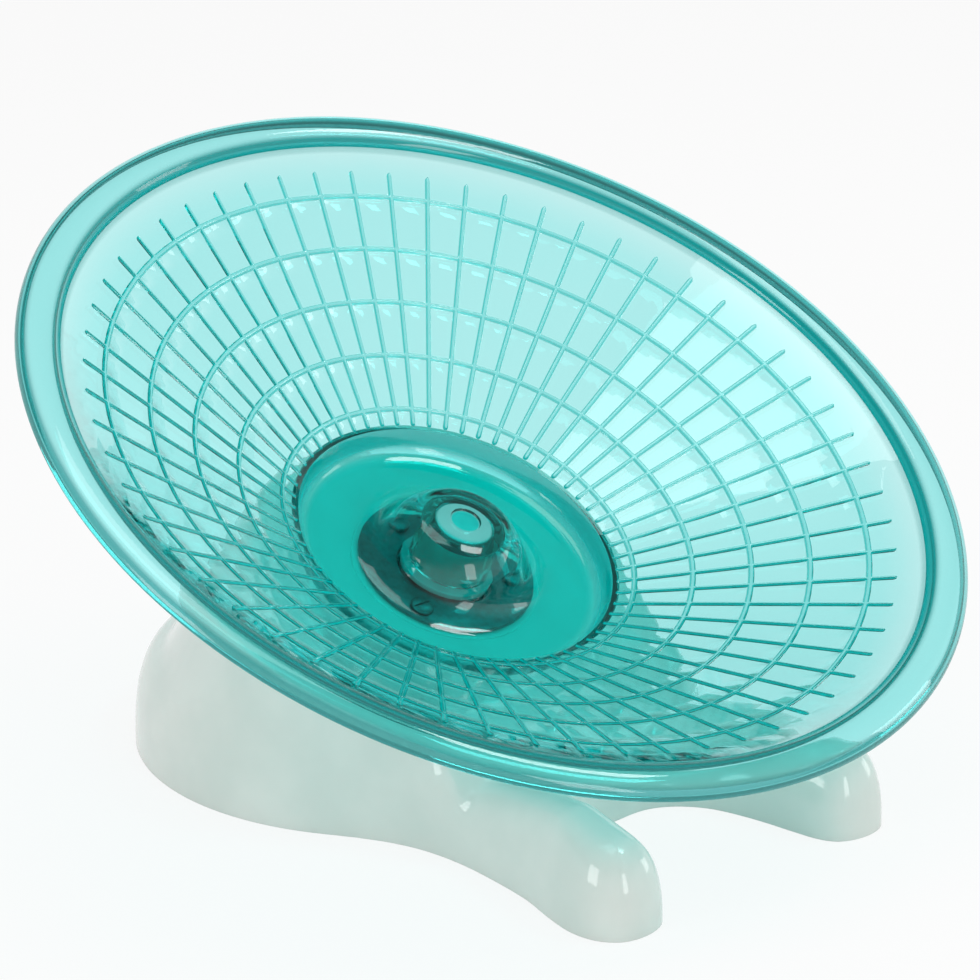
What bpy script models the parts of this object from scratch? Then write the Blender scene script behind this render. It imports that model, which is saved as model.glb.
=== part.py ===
"""A small-pet running saucer: a clear ribbed dish on a tilted ball-bearing hub, over a low moulded base.

Lengths are metres, +Z is up and the front is -Y. The turned pieces are modelled upright, with heights counted
along the spin axis from the middle ring rib, and an empty tilts them all into place.
"""

import math

import bmesh
import bpy
import numpy as np
from mathutils import Vector
from mathutils.geometry import delaunay_2d_cdt

# Spin axis
TILT = math.radians(26.8)
AXIS_POINT = (0.0, 0.0076, 0.0571)

# Saucer dish
RIM_RADIUS = 0.095
LIP_WIDTH = 0.0086
LIP_CROWN = 0.0029
LIP_SKIRT = 0.0004
DISH_WALL = 0.0018
RING_RADIUS = 0.0563
RING_PITCH = 0.01018
RING_RIBS = 5
CONE_SLOPE_SHARE = 0.528
RADIAL_RIBS = 60
RIB_WIDTH = 0.0010
RIB_HEIGHT = 0.0007
RIB_START_RADIUS = 0.0328
RIB_END_RADIUS = 0.0815
RIB_END_LENGTH = 0.0009
CUP_RADIUS = 0.0322
FLOOR_EDGE_RADIUS = 0.0285
FLOOR_DEPTH = 0.018
CUP_WALL_SHARES = ((0.0, 0.0), (0.42, 0.12), (0.78, 0.45), (1.0, 1.0))
DOME_BASE_RADIUS = 0.0214
DOME_TOP_RADIUS = 0.0063
DOME_HEIGHT = 0.011
DOME_SHARES = (
    (1.0, 0.0), (0.82, 0.06), (0.64, 0.23), (0.52, 0.46), (0.41, 0.69), (0.245, 0.91), (0.09, 0.985),
)
DIMPLE_RADIUS = 0.0031
DIMPLE_DEPTH = 0.0007
NUB_RADIUS = 0.0014
SLEEVE_WALL = 0.0015

# Gaps
FIT_GAP = 0.0003
OVERRUN = 0.002
CLOSEST = 0.000001

# Ball bearing
BEARING_RADIUS = 0.011
BEARING_BORE_RADIUS = 0.004
BEARING_WIDTH = 0.007
RACE_WALL = 0.002
BALL_COUNT = 7
BALL_RADIUS = 0.0019
CAGE_WALL = 0.0015
CAGE_FLOOR = 0.0005
SHIELD_THICKNESS = 0.0004
SHIELD_INSET = 0.0002

# Spindle, axle and their fixings
BOSS_RADIUS = 0.006
BOSS_CHAMFER = 0.0005
FLANGE_RADIUS = 0.0092
FLANGE_THICKNESS = 0.0015
SPACER_RADIUS = 0.0064
SPACER_THICKNESS = 0.001
AXLE_RADIUS = 0.0037
AXLE_TOP_COVER = 0.0021
WASHER_RADIUS = 0.007
WASHER_THICKNESS = 0.0008
CLIP_RADIUS = 0.0062
CLIP_THICKNESS = 0.0006
CLIP_OPENING = math.radians(76.0)
GROOVE_DEPTH = 0.0009
AXLE_END_LENGTH = 0.0012

# Bearing retainer and its screws
RETAINER_RADIUS = 0.0175
RETAINER_LAND = 0.0014
RETAINER_THICKNESS = 0.001
SCREW_COUNT = 3
SCREW_CIRCLE_RADIUS = 0.0143
SCREW_RADIUS = 0.0013
SCREW_LENGTH = 0.0075
SCREW_HEAD_RADIUS = 0.0023
SCREW_HEAD_HEIGHT = 0.001
SCREW_CROWN_SHARE = 0.6
SCREW_SLOT_WIDTH = 0.0006
SCREW_SLOT_DEPTH = 0.0004

# Base shell
PLATFORM_CLEARANCE = 0.0024
WASHER_CLEARANCE = 0.0016
PLATFORM_STEP = 0.0005
HOUSING_WALL = 0.0023
HOUSING_LIP = 0.002
HOUSING_HEAD_RADIUS = 0.0188
HOUSING_HEAD_THICKNESS = 0.0032
SCREW_BOSS_RADIUS = 0.0031
SHELL_WALL = 0.0022
LOBE_RADIUS = 0.0516
LOBE_CENTRE_Y = 0.0326
LEG_REACH = 0.0755
LOBE_HEIGHT = 0.020
WAIST_HEIGHT = 0.0143
LEG_HEIGHT = 0.0188
TOE_HEIGHT = 0.0168
ROUNDING_WIDTH = 0.008
ROUNDING_POWER_SHARE = 2.4
NECK_CENTRE_Y = 0.0226
NECK_RADIUS = 0.0345
NECK_HEIGHT = 0.050
NECK_SLOPE_SHARE = 1.3
NECK_FALL_RADIUS = 0.0357
FLANK_START = 0.001
FLANK_HEIGHT = 0.019
FLANK_SLOPE_SHARE = 9.0
SHOULDER_BLEND = 0.0028
EDGE_BLEND = 0.0016
SKIN_SPACING = 0.0062
INNER_SKIN_SPACING = 0.00775
OUTLINE_SPACING = 0.0036

# Half of the base's outline from the arch between the legs to where the round lobe starts: out to the side
# as a share of the lobe's radius, and forward of the spin axis's point as a share of the legs' reach.
OUTLINE_SHARES = (
    (0.0, 0.497), (0.122, 0.498), (0.205, 0.514), (0.275, 0.549), (0.326, 0.594), (0.360, 0.645),
    (0.393, 0.742), (0.414, 0.855), (0.430, 0.922), (0.464, 0.968), (0.530, 0.993), (0.618, 0.998),
    (0.694, 0.980), (0.748, 0.931), (0.763, 0.856), (0.735, 0.762), (0.692, 0.657), (0.665, 0.516),
    (0.657, 0.393), (0.674, 0.285), (0.715, 0.195), (0.775, 0.112),
)
LOBE_START = math.radians(-32.2)

# Height of the lobe and legs at places forward of the spin axis's point, as shares of the legs' reach
FORWARD_SHARES = (-0.2, 0.17, 0.35, 0.74, 1.0)
TOP_HEIGHTS = (LOBE_HEIGHT, WAIST_HEIGHT, WAIST_HEIGHT, LEG_HEIGHT, TOE_HEIGHT)
INSET_SHARES = (0.03, 0.09, 0.2, 0.4, 0.7)
INNER_INSET_SHARES = (0.06, 0.3)

# Facets
SHARP_ANGLE = math.radians(35.0)
RING_KEPT_SHARE = 0.93
GRID_CLEAR_SHARE = 0.45
EDGE_START = math.radians(-35.0)
PLATFORM_EDGE_STEPS = 40
REACH_STEPS = 200
OUTLINE_STEPS = 3
LIP_STEPS = 7
UNDER_LIP_STEPS = 4
GROOVE_STEPS = 4
TURNED_STEPS = 32
SMALL_STEPS = 20
CENTRE_STEPS = 30
BALL_RINGS = 6

# Worked-out heights along the spin axis
FLOOR_HEIGHT = -FLOOR_DEPTH
DOME_TOP = FLOOR_HEIGHT + DOME_HEIGHT
BOSS_TOP = DOME_TOP - DISH_WALL - FIT_GAP
FLOOR_UNDER = FLOOR_HEIGHT - DISH_WALL
PLATFORM = FLOOR_UNDER - PLATFORM_CLEARANCE
HOUSING_TOP = PLATFORM + PLATFORM_STEP
BEARING_TOP = HOUSING_TOP
BEARING_BOTTOM = BEARING_TOP - BEARING_WIDTH
BEARING_MIDDLE = (BEARING_TOP + BEARING_BOTTOM) / 2
RETAINER_BOTTOM = HOUSING_TOP + FIT_GAP
RETAINER_TOP = RETAINER_BOTTOM + RETAINER_THICKNESS
SPACER_BOTTOM = BEARING_TOP + FIT_GAP
FLANGE_BOTTOM = SPACER_BOTTOM + SPACER_THICKNESS + FIT_GAP
FLANGE_TOP = FLANGE_BOTTOM + FLANGE_THICKNESS
SEAT = BEARING_BOTTOM - FIT_GAP
WASHER_TOP = BEARING_BOTTOM - FIT_GAP
WASHER_BOTTOM = WASHER_TOP - WASHER_THICKNESS
CLIP_TOP = WASHER_BOTTOM - FIT_GAP
CLIP_BOTTOM = CLIP_TOP - CLIP_THICKNESS
BALL_CIRCLE_RADIUS = (BEARING_RADIUS + BEARING_BORE_RADIUS) / 2


def clear_scene():
    """Remove every object that the scene starts with."""
    for item in list(bpy.data.objects):
        bpy.data.objects.remove(item, do_unlink=True)


def material(name, colour, roughness, metallic=0.0):
    """Make a Principled material with one colour, roughness and metallic value."""
    made = bpy.data.materials.new(name)
    made.use_nodes = True
    shader = made.node_tree.nodes["Principled BSDF"]
    shader.inputs["Base Color"].default_value = (*colour, 1.0)
    shader.inputs["Roughness"].default_value = roughness
    shader.inputs["Metallic"].default_value = metallic
    return made


def teal_plastic():
    """The dish's clear teal plastic."""
    return material("teal_plastic", (0.02, 0.60, 0.56), 0.06)


def pale_plastic():
    """The base's pale translucent plastic."""
    return material("pale_plastic", (0.56, 0.65, 0.62), 0.16)


def boss_plastic():
    """The spindle boss's pale plastic."""
    return material("boss_plastic", (0.66, 0.72, 0.70), 0.3)


def cage_plastic():
    """The bearing cage's dark plastic."""
    return material("cage_plastic", (0.08, 0.08, 0.085), 0.45)


def bearing_steel():
    """Ground bearing steel."""
    return material("bearing_steel", (0.60, 0.60, 0.61), 0.16, 1.0)


def plated_steel():
    """Black zinc-plated steel of the pressed and turned fixings."""
    return material("plated_steel", (0.15, 0.155, 0.16), 0.36, 1.0)


def finish(name, bm, finish_material, parent=None, location=(0.0, 0.0, 0.0)):
    """Turn a bmesh into a smooth-shaded object with outward faces, under its parent."""
    bmesh.ops.recalc_face_normals(bm, faces=bm.faces[:])
    mesh = bpy.data.meshes.new(name)
    bm.to_mesh(mesh)
    bm.free()
    mesh.shade_smooth()
    mesh.set_sharp_from_angle(angle=SHARP_ANGLE)
    made = bpy.data.objects.new(name, mesh)
    made.data.materials.append(finish_material)
    made.parent = parent
    made.location = location
    bpy.context.scene.collection.objects.link(made)
    return made


def ring_row(bm, radius, height, steps):
    """Add one level ring of points, or a single point where the radius is zero."""
    if radius == 0.0:
        return [bm.verts.new((0.0, 0.0, height))]
    angles = (math.tau * step / steps for step in range(steps))
    return [bm.verts.new((radius * math.cos(a), radius * math.sin(a), height)) for a in angles]


def join_rows(bm, coarse, fine):
    """Join two rings of points, where the fine one has a whole number of points for each coarse one."""
    ratio = len(fine) // len(coarse)
    count = len(coarse)
    if count == 1:
        for index, point in enumerate(fine):
            bm.faces.new((coarse[0], point, fine[(index + 1) % len(fine)]))
        return
    for index in range(count):
        first = index * ratio
        for step in range(ratio - 1):
            bm.faces.new((coarse[index], fine[first + step], fine[first + step + 1]))
        last = fine[first + ratio - 1]
        following = fine[(first + ratio) % len(fine)]
        bm.faces.new((coarse[index], last, following, coarse[(index + 1) % count]))


def join_in_order(bm, rows, closed):
    """Join rows of points one after another, whichever of each pair is the finer."""
    pairs = list(zip(rows, rows[1:]))
    if closed:
        pairs.append((rows[-1], rows[0]))
    for first, second in pairs:
        coarse, fine = sorted((first, second), key=len)
        join_rows(bm, coarse, fine)


def turned(profile, steps):
    """Turn a profile of (radius, height) points about Z, closed on itself unless its ends are on the axis."""
    bm = bmesh.new()
    rows = [ring_row(bm, radius, height, steps) for radius, height in profile]
    join_in_order(bm, rows, closed=profile[0][0] != 0.0)
    return bm


def ring_profile(inner, outer, bottom, top):
    """The square section of a plain ring or washer."""
    return ((inner, bottom), (outer, bottom), (outer, top), (inner, top))


def smooth_curve(points, steps):
    """A Catmull-Rom curve through points, as an array with the given number of steps in each span."""
    line = np.asarray(points, float)
    padded = np.vstack((2 * line[0] - line[1], line, 2 * line[-1] - line[-2]))
    share = (np.arange(steps) / steps)[:, None]
    spans = []
    for index in range(len(line) - 1):
        before, start, end, after = padded[index:index + 4]
        linear = (end - before) * share
        square = (2 * before - 5 * start + 4 * end - after) * share ** 2
        cube = (3 * start - before - 3 * end + after) * share ** 3
        spans.append(start + (linear + square + cube) / 2)
    spans.append(line[-1:])
    return np.vstack(spans)


def cone_height(radius):
    """Height of the dish's ribbed cone above the middle ring rib's plane."""
    return CONE_SLOPE_SHARE * (radius - RING_RADIUS)


def dish_floor_profile():
    """The dish's upper surface from the centre of the dome out to the start of the ribs."""
    points = [(0.0, DOME_TOP - DIMPLE_DEPTH / 2)]
    points.append((NUB_RADIUS, DOME_TOP - DIMPLE_DEPTH))
    points.append((DIMPLE_RADIUS - DIMPLE_DEPTH / 2, DOME_TOP - DIMPLE_DEPTH))
    points.append((DIMPLE_RADIUS, DOME_TOP))
    points.append((DOME_TOP_RADIUS, DOME_TOP))
    flank = DOME_BASE_RADIUS - DOME_TOP_RADIUS
    for out_share, up_share in reversed(DOME_SHARES):
        points.append((DOME_TOP_RADIUS + out_share * flank, FLOOR_HEIGHT + up_share * DOME_HEIGHT))
    rise = cone_height(CUP_RADIUS) - FLOOR_HEIGHT
    reach = CUP_RADIUS - FLOOR_EDGE_RADIUS
    for out_share, up_share in CUP_WALL_SHARES:
        points.append((FLOOR_EDGE_RADIUS + out_share * reach, FLOOR_HEIGHT + up_share * rise))
    return points


def lip_arc(half_width, crown, steps):
    """Half an ellipse over the rolled lip, as (radius, height) from its inner edge to its outer one."""
    centre = RIM_RADIUS - LIP_WIDTH / 2
    base = cone_height(RIM_RADIUS - LIP_WIDTH)
    angles = [math.pi * (1 - step / steps) for step in range(steps + 1)]
    return [(centre + half_width * math.cos(a), base + crown * math.sin(a)) for a in angles]


def dish_under_profile():
    """The dish's lower surface from the lip's outer edge in to the sleeve over the spindle boss."""
    base = cone_height(RIM_RADIUS - LIP_WIDTH)
    half_width = LIP_WIDTH / 2 - DISH_WALL
    points = [(RIM_RADIUS, base - LIP_SKIRT), (RIM_RADIUS - DISH_WALL, base - LIP_SKIRT)]
    points += lip_arc(half_width, LIP_CROWN - DISH_WALL, UNDER_LIP_STEPS)[::-1]
    crease = RIM_RADIUS - LIP_WIDTH
    points.append((crease, cone_height(crease) - DISH_WALL))
    points.append((RING_RADIUS, cone_height(RING_RADIUS) - DISH_WALL))
    points.append((CUP_RADIUS + DISH_WALL, cone_height(CUP_RADIUS) - DISH_WALL / 2))
    points.append((CUP_RADIUS + DISH_WALL / 2, FLOOR_UNDER + DISH_WALL))
    points.append((FLOOR_EDGE_RADIUS, FLOOR_UNDER))
    points.append((DOME_BASE_RADIUS - DISH_WALL / 2, FLOOR_UNDER))
    flank = DOME_BASE_RADIUS - DOME_TOP_RADIUS
    for out_share, up_share in DOME_SHARES[2:-2]:
        radius = DOME_TOP_RADIUS + out_share * flank - DISH_WALL / 2
        points.append((radius, FLOOR_HEIGHT + up_share * DOME_HEIGHT - DISH_WALL))
    sleeve = BOSS_RADIUS + FIT_GAP
    points.append((sleeve + SLEEVE_WALL, DOME_TOP - DISH_WALL))
    points.append((sleeve + SLEEVE_WALL, FLANGE_TOP + FIT_GAP))
    points.append((sleeve, FLANGE_TOP + FIT_GAP))
    points.append((sleeve, DOME_TOP - DISH_WALL))
    points.append((0.0, DOME_TOP - DISH_WALL))
    return points


def ribbed_row(bm, radius, ring_rise, rib_rise):
    """A ring of points over the radial ribs, with a point on both sides of each rib and one on its top."""
    half_angle = RIB_WIDTH / 2 / radius
    foot = cone_height(radius) + ring_rise
    top = cone_height(radius) + max(ring_rise, rib_rise)
    row = []
    for rib in range(RADIAL_RIBS):
        middle = math.tau * rib / RADIAL_RIBS
        for angle, height in ((middle - half_angle, foot), (middle, top), (middle + half_angle, foot)):
            row.append(bm.verts.new((radius * math.cos(angle), radius * math.sin(angle), height)))
    return row


def ribbed_rows(bm):
    """The rows of the ribbed cone, from the ribs' inner ends over the ring ribs to their outer ends."""
    rows = [ribbed_row(bm, RIB_START_RADIUS, 0.0, 0.0)]
    rows.append(ribbed_row(bm, RIB_START_RADIUS + RIB_END_LENGTH, 0.0, RIB_HEIGHT))
    for ring in range(RING_RIBS):
        radius = RING_RADIUS + (ring - RING_RIBS // 2) * RING_PITCH
        for offset, rise in ((-RIB_WIDTH / 2, 0.0), (0.0, RIB_HEIGHT), (RIB_WIDTH / 2, 0.0)):
            rows.append(ribbed_row(bm, radius + offset, rise, RIB_HEIGHT))
    rows.append(ribbed_row(bm, RIB_END_RADIUS - RIB_END_LENGTH, 0.0, RIB_HEIGHT))
    rows.append(ribbed_row(bm, RIB_END_RADIUS, 0.0, 0.0))
    return rows


def saucer_dish(parent):
    """The clear dish: dome and hub cup, ribbed cone, rolled lip and plain underside, as one closed wall."""
    bm = bmesh.new()
    floor = dish_floor_profile()
    rows = [ring_row(bm, radius, height, CENTRE_STEPS) for radius, height in floor[:-3]]
    rows += [ring_row(bm, radius, height, RADIAL_RIBS) for radius, height in floor[-3:]]
    rows += ribbed_rows(bm)
    lip = lip_arc(LIP_WIDTH / 2, LIP_CROWN, LIP_STEPS)
    rows += [ring_row(bm, radius, height, RADIAL_RIBS) for radius, height in lip]
    for radius, height in dish_under_profile():
        steps = RADIAL_RIBS if radius > DOME_BASE_RADIUS else CENTRE_STEPS
        rows.append(ring_row(bm, radius, height, steps))
    join_in_order(bm, rows, closed=False)
    return finish("saucer_dish", bm, teal_plastic(), parent)


def spindle_boss(parent):
    """The pale boss that the dish drops over, with a flange under the dish's sleeve and a blind axle bore."""
    bore = AXLE_RADIUS + FIT_GAP
    profile = (
        (0.0, BOSS_TOP), (BOSS_RADIUS - BOSS_CHAMFER, BOSS_TOP), (BOSS_RADIUS, BOSS_TOP - BOSS_CHAMFER),
        (BOSS_RADIUS, FLANGE_TOP), (FLANGE_RADIUS, FLANGE_TOP), (FLANGE_RADIUS, FLANGE_BOTTOM),
        (bore, FLANGE_BOTTOM), (bore, BOSS_TOP - AXLE_TOP_COVER), (0.0, BOSS_TOP - AXLE_TOP_COVER),
    )
    return finish("spindle_boss", turned(profile, TURNED_STEPS), boss_plastic(), parent)


def axle_pin(parent):
    """The steel axle, with a groove for the retaining clip near its lower end."""
    top = BOSS_TOP - AXLE_TOP_COVER - FIT_GAP
    groove = AXLE_RADIUS - GROOVE_DEPTH
    end = CLIP_BOTTOM - FIT_GAP - AXLE_END_LENGTH
    profile = (
        (0.0, top), (AXLE_RADIUS - BOSS_CHAMFER, top), (AXLE_RADIUS, top - BOSS_CHAMFER),
        (AXLE_RADIUS, CLIP_TOP + FIT_GAP), (groove, CLIP_TOP + FIT_GAP), (groove, CLIP_BOTTOM - FIT_GAP),
        (AXLE_RADIUS, CLIP_BOTTOM - FIT_GAP), (AXLE_RADIUS, end + BOSS_CHAMFER),
        (AXLE_RADIUS - BOSS_CHAMFER, end), (0.0, end),
    )
    return finish("axle_pin", turned(profile, TURNED_STEPS), plated_steel(), parent)


def washer(name, outer, bottom, thickness, parent):
    """A plain steel washer on the axle."""
    profile = ring_profile(AXLE_RADIUS + FIT_GAP, outer, bottom, bottom + thickness)
    return finish(name, turned(profile, TURNED_STEPS), plated_steel(), parent)


def retaining_clip(parent):
    """The open steel ring that snaps into the axle's groove."""
    inner = AXLE_RADIUS - GROOVE_DEPTH + FIT_GAP
    bm = bmesh.new()
    rows = []
    for step in range(SMALL_STEPS + 1):
        angle = CLIP_OPENING / 2 + (math.tau - CLIP_OPENING) * step / SMALL_STEPS
        section = ring_profile(inner, CLIP_RADIUS, CLIP_BOTTOM, CLIP_TOP)
        row = [bm.verts.new((r * math.cos(angle), r * math.sin(angle), height)) for r, height in section]
        rows.append(row)
    join_in_order(bm, rows, closed=False)
    bm.faces.new(rows[0])
    bm.faces.new(rows[-1])
    return finish("retaining_clip", bm, plated_steel(), parent)


def race_groove(pitch_side, land):
    """The round groove that the balls run in, as (radius, height) from its lower edge to its upper one."""
    radius = BALL_RADIUS + FIT_GAP
    half = math.acos((BALL_CIRCLE_RADIUS - land) * pitch_side / radius)
    points = []
    for step in range(GROOVE_STEPS + 1):
        angle = -half + 2 * half * step / GROOVE_STEPS
        out = BALL_CIRCLE_RADIUS - pitch_side * radius * math.cos(angle)
        points.append((out, BEARING_MIDDLE + radius * math.sin(angle)))
    return points


def bearing_inner_ring(parent):
    """The bearing's inner ring, grooved outside for the balls."""
    land = BEARING_BORE_RADIUS + RACE_WALL
    profile = [(BEARING_BORE_RADIUS, BEARING_TOP), (BEARING_BORE_RADIUS, BEARING_BOTTOM)]
    profile.append((land, BEARING_BOTTOM))
    profile += race_groove(1.0, land)
    profile.append((land, BEARING_TOP))
    return finish("bearing_inner_ring", turned(profile, TURNED_STEPS), bearing_steel(), parent)


def bearing_outer_ring(parent):
    """The bearing's outer ring, grooved inside for the balls."""
    land = BEARING_RADIUS - RACE_WALL
    profile = [(BEARING_RADIUS, BEARING_TOP), (BEARING_RADIUS, BEARING_BOTTOM), (land, BEARING_BOTTOM)]
    profile += race_groove(-1.0, land)
    profile.append((land, BEARING_TOP))
    return finish("bearing_outer_ring", turned(profile, TURNED_STEPS), bearing_steel(), parent)


def bearing_shield(name, side, parent):
    """A thin pressed shield over one side of the bearing; side is 1 for the upper and -1 for the lower."""
    outer_face = BEARING_MIDDLE + side * (BEARING_WIDTH / 2 - SHIELD_INSET)
    inner_face = outer_face - side * SHIELD_THICKNESS
    inner = BEARING_BORE_RADIUS + RACE_WALL + FIT_GAP
    outer = BEARING_RADIUS - RACE_WALL - FIT_GAP
    profile = ring_profile(inner, outer, inner_face, outer_face)
    return finish(name, turned(profile, TURNED_STEPS), plated_steel(), parent)


def ball_places():
    """The places of the balls' centres around the bearing."""
    for index in range(BALL_COUNT):
        angle = math.tau * index / BALL_COUNT
        across = BALL_CIRCLE_RADIUS * math.cos(angle)
        yield (across, BALL_CIRCLE_RADIUS * math.sin(angle), BEARING_MIDDLE)


def bearing_balls(parent):
    """The bearing's balls, each its own object."""
    for index, place in enumerate(ball_places(), start=1):
        bm = bmesh.new()
        bmesh.ops.create_uvsphere(bm, u_segments=SMALL_STEPS // 2, v_segments=BALL_RINGS, radius=BALL_RADIUS)
        finish(f"bearing_ball_{index}", bm, bearing_steel(), parent, place)


def cutter(name, bm, parent):
    """A hidden helper object for a Boolean."""
    made = finish(name, bm, bpy.data.materials["cutter"], parent)
    made.hide_render = True
    made.display_type = "WIRE"
    return made


def add_boolean(item, tool, operation):
    """Add an exact Boolean with another object to an object."""
    step = item.modifiers.new(tool.name, "BOOLEAN")
    step.object = tool
    step.operation = operation
    step.solver = "EXACT"


def bearing_cage(parent):
    """The cage that spaces the balls: a band with a round pocket for each."""
    below = BALL_RADIUS + FIT_GAP + CAGE_FLOOR
    above = BALL_RADIUS - CAGE_FLOOR
    profile = ring_profile(
        BALL_CIRCLE_RADIUS - CAGE_WALL / 2, BALL_CIRCLE_RADIUS + CAGE_WALL / 2,
        BEARING_MIDDLE - below, BEARING_MIDDLE + above,
    )
    cage = finish("bearing_cage", turned(profile, TURNED_STEPS), cage_plastic(), parent)
    pockets = bmesh.new()
    for place in ball_places():
        made = bmesh.ops.create_uvsphere(
            pockets, u_segments=SMALL_STEPS // 2, v_segments=BALL_RINGS, radius=BALL_RADIUS + FIT_GAP,
        )
        bmesh.ops.translate(pockets, verts=made["verts"], vec=place)
    add_boolean(cage, cutter("cage_pockets", pockets, parent), "DIFFERENCE")
    return cage


def screw_places():
    """The places of the retainer's screws around the spin axis."""
    for index in range(SCREW_COUNT):
        angle = math.pi / 2 + math.tau * index / SCREW_COUNT
        yield (SCREW_CIRCLE_RADIUS * math.cos(angle), SCREW_CIRCLE_RADIUS * math.sin(angle))


def round_bars(bm, radius, bottom, top, steps):
    """Add one plain round bar at each of the screws' places to a bmesh."""
    for x, y in screw_places():
        rows = []
        for bar_radius, height in ((0.0, bottom), (radius, bottom), (radius, top), (0.0, top)):
            row = ring_row(bm, bar_radius, height, steps)
            bmesh.ops.translate(bm, verts=row, vec=(x, y, 0.0))
            rows.append(row)
        join_in_order(bm, rows, closed=False)
    return bm


def retainer_plate(parent):
    """The pressed ring that keeps the bearing in its seat, with a hole for each screw."""
    inner = BEARING_RADIUS - RETAINER_LAND
    profile = ring_profile(inner, RETAINER_RADIUS, RETAINER_BOTTOM, RETAINER_TOP)
    plate = finish("retainer_plate", turned(profile, TURNED_STEPS), plated_steel(), parent)
    bottom = RETAINER_BOTTOM - OVERRUN
    top = RETAINER_TOP + OVERRUN
    holes = round_bars(bmesh.new(), SCREW_RADIUS + FIT_GAP, bottom, top, SMALL_STEPS // 2)
    add_boolean(plate, cutter("retainer_holes", holes, parent), "DIFFERENCE")
    return plate


def retainer_screws(parent):
    """The pan-head screws of the retainer, each with a slot."""
    head_bottom = RETAINER_TOP + FIT_GAP
    head_top = head_bottom + SCREW_HEAD_HEIGHT
    tip = head_bottom - SCREW_LENGTH
    profile = (
        (0.0, head_top), (SCREW_HEAD_RADIUS * SCREW_CROWN_SHARE, head_top),
        (SCREW_HEAD_RADIUS, head_top - BOSS_CHAMFER), (SCREW_HEAD_RADIUS, head_bottom),
        (SCREW_RADIUS, head_bottom), (SCREW_RADIUS, tip + SCREW_RADIUS), (0.0, tip),
    )
    for index, (x, y) in enumerate(screw_places(), start=1):
        screw = finish(
            f"retainer_screw_{index}", turned(profile, SMALL_STEPS // 2), plated_steel(), parent, (x, y, 0.0),
        )
        slot = bmesh.new()
        made = bmesh.ops.create_cube(slot, size=1.0)
        size = (2 * SCREW_HEAD_RADIUS + OVERRUN, SCREW_SLOT_WIDTH, 2 * SCREW_SLOT_DEPTH)
        bmesh.ops.scale(slot, verts=made["verts"], vec=size)
        bmesh.ops.translate(slot, verts=made["verts"], vec=(x, y, head_top))
        add_boolean(screw, cutter(f"screw_slot_{index}", slot, parent), "DIFFERENCE")


def base_outline():
    """The base's outline on the floor, as an array of (x, y) points that goes once around."""
    shares = smooth_curve(OUTLINE_SHARES, OUTLINE_STEPS)
    side = shares[:, 0] * LOBE_RADIUS
    half = np.stack((side, AXIS_POINT[1] - shares[:, 1] * LEG_REACH), axis=1)
    steps = round(LOBE_RADIUS * (math.pi / 2 - LOBE_START) / OUTLINE_SPACING)
    angles = np.linspace(LOBE_START, math.pi / 2, steps + 1)
    lobe = np.stack((np.cos(angles), np.sin(angles)), axis=1) * LOBE_RADIUS + (0.0, LOBE_CENTRE_Y)
    half = np.vstack((half, lobe))
    mirrored = half[::-1][1:-1] * (-1.0, 1.0)
    return even_loop(np.vstack((half, mirrored)), OUTLINE_SPACING)


def even_loop(loop, spacing):
    """A closed loop's points placed anew at even distances along it."""
    closed = np.vstack((loop, loop[:1]))
    lengths = np.linalg.norm(np.diff(closed, axis=0), axis=1)
    travel = np.concatenate(((0.0,), np.cumsum(lengths)))
    count = round(travel[-1] / spacing / 2) * 2
    places = np.arange(count) * travel[-1] / count
    return np.stack([np.interp(places, travel, closed[:, axis]) for axis in (0, 1)], axis=1)


def inset_loop(loop, distance):
    """A closed anticlockwise loop moved inward along its corner normals."""
    along = np.roll(loop, -1, axis=0) - np.roll(loop, 1, axis=0)
    along /= np.linalg.norm(along, axis=1)[:, None]
    inward = np.stack((-along[:, 1], along[:, 0]), axis=1)
    return loop + inward * distance


def edge_distance(points, loop):
    """Each point's distance to a closed loop, below zero outside it."""
    starts = loop[None]
    spans = np.roll(loop, -1, axis=0)[None] - starts
    offsets = points[:, None] - starts
    share = np.clip((offsets * spans).sum(2) / (spans ** 2).sum(2), 0.0, 1.0)
    distance = np.linalg.norm(offsets - spans * share[..., None], axis=2).min(1)
    above = points[:, None, 1] >= starts[..., 1]
    above_next = points[:, None, 1] >= starts[..., 1] + spans[..., 1]
    side = spans[..., 0] * offsets[..., 1] - spans[..., 1] * offsets[..., 0]
    winding = (above & ~above_next & (side < 0)).sum(1) - (~above & above_next & (side > 0)).sum(1)
    return np.where(winding != 0, distance, -distance)


def smooth_max(first, second, blend):
    """The larger of two heights, with the corner between them rounded."""
    return (first + second + np.sqrt((first - second) ** 2 + blend ** 2)) / 2


def smooth_min(first, second, blend):
    """The smaller of two heights, with the corner between them rounded."""
    return -smooth_max(-first, -second, blend)


def slab_height(points, distance):
    """Height of the lobe and legs: a rounded skirt up to a top that dips at the waist and at the toes."""
    top = np.interp((AXIS_POINT[1] - points[:, 1]) / LEG_REACH, FORWARD_SHARES, TOP_HEIGHTS)
    short = 1.0 - np.clip(distance / ROUNDING_WIDTH, 0.0, 1.0)
    return top * (1.0 - short ** ROUNDING_POWER_SHARE) ** (1.0 / ROUNDING_POWER_SHARE)


def platform_height(points):
    """Height of the tilted plane under the dish's hub."""
    along = (points[:, 1] - AXIS_POINT[1]) * math.sin(TILT)
    return AXIS_POINT[2] + (PLATFORM + along) / math.cos(TILT)


def neck_height(points, distance):
    """Height of the neck's flank, before the tilted platform cuts it."""
    out = np.hypot(points[:, 0], points[:, 1] - NECK_CENTRE_Y) - NECK_RADIUS
    fall = np.where(out > 0.0, out ** 2 / NECK_FALL_RADIUS, 0.0)
    round_flank = NECK_HEIGHT - NECK_SLOPE_SHARE * out - fall
    side_flank = FLANK_HEIGHT + FLANK_SLOPE_SHARE * (distance - FLANK_START)
    return np.minimum(round_flank, side_flank)


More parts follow.
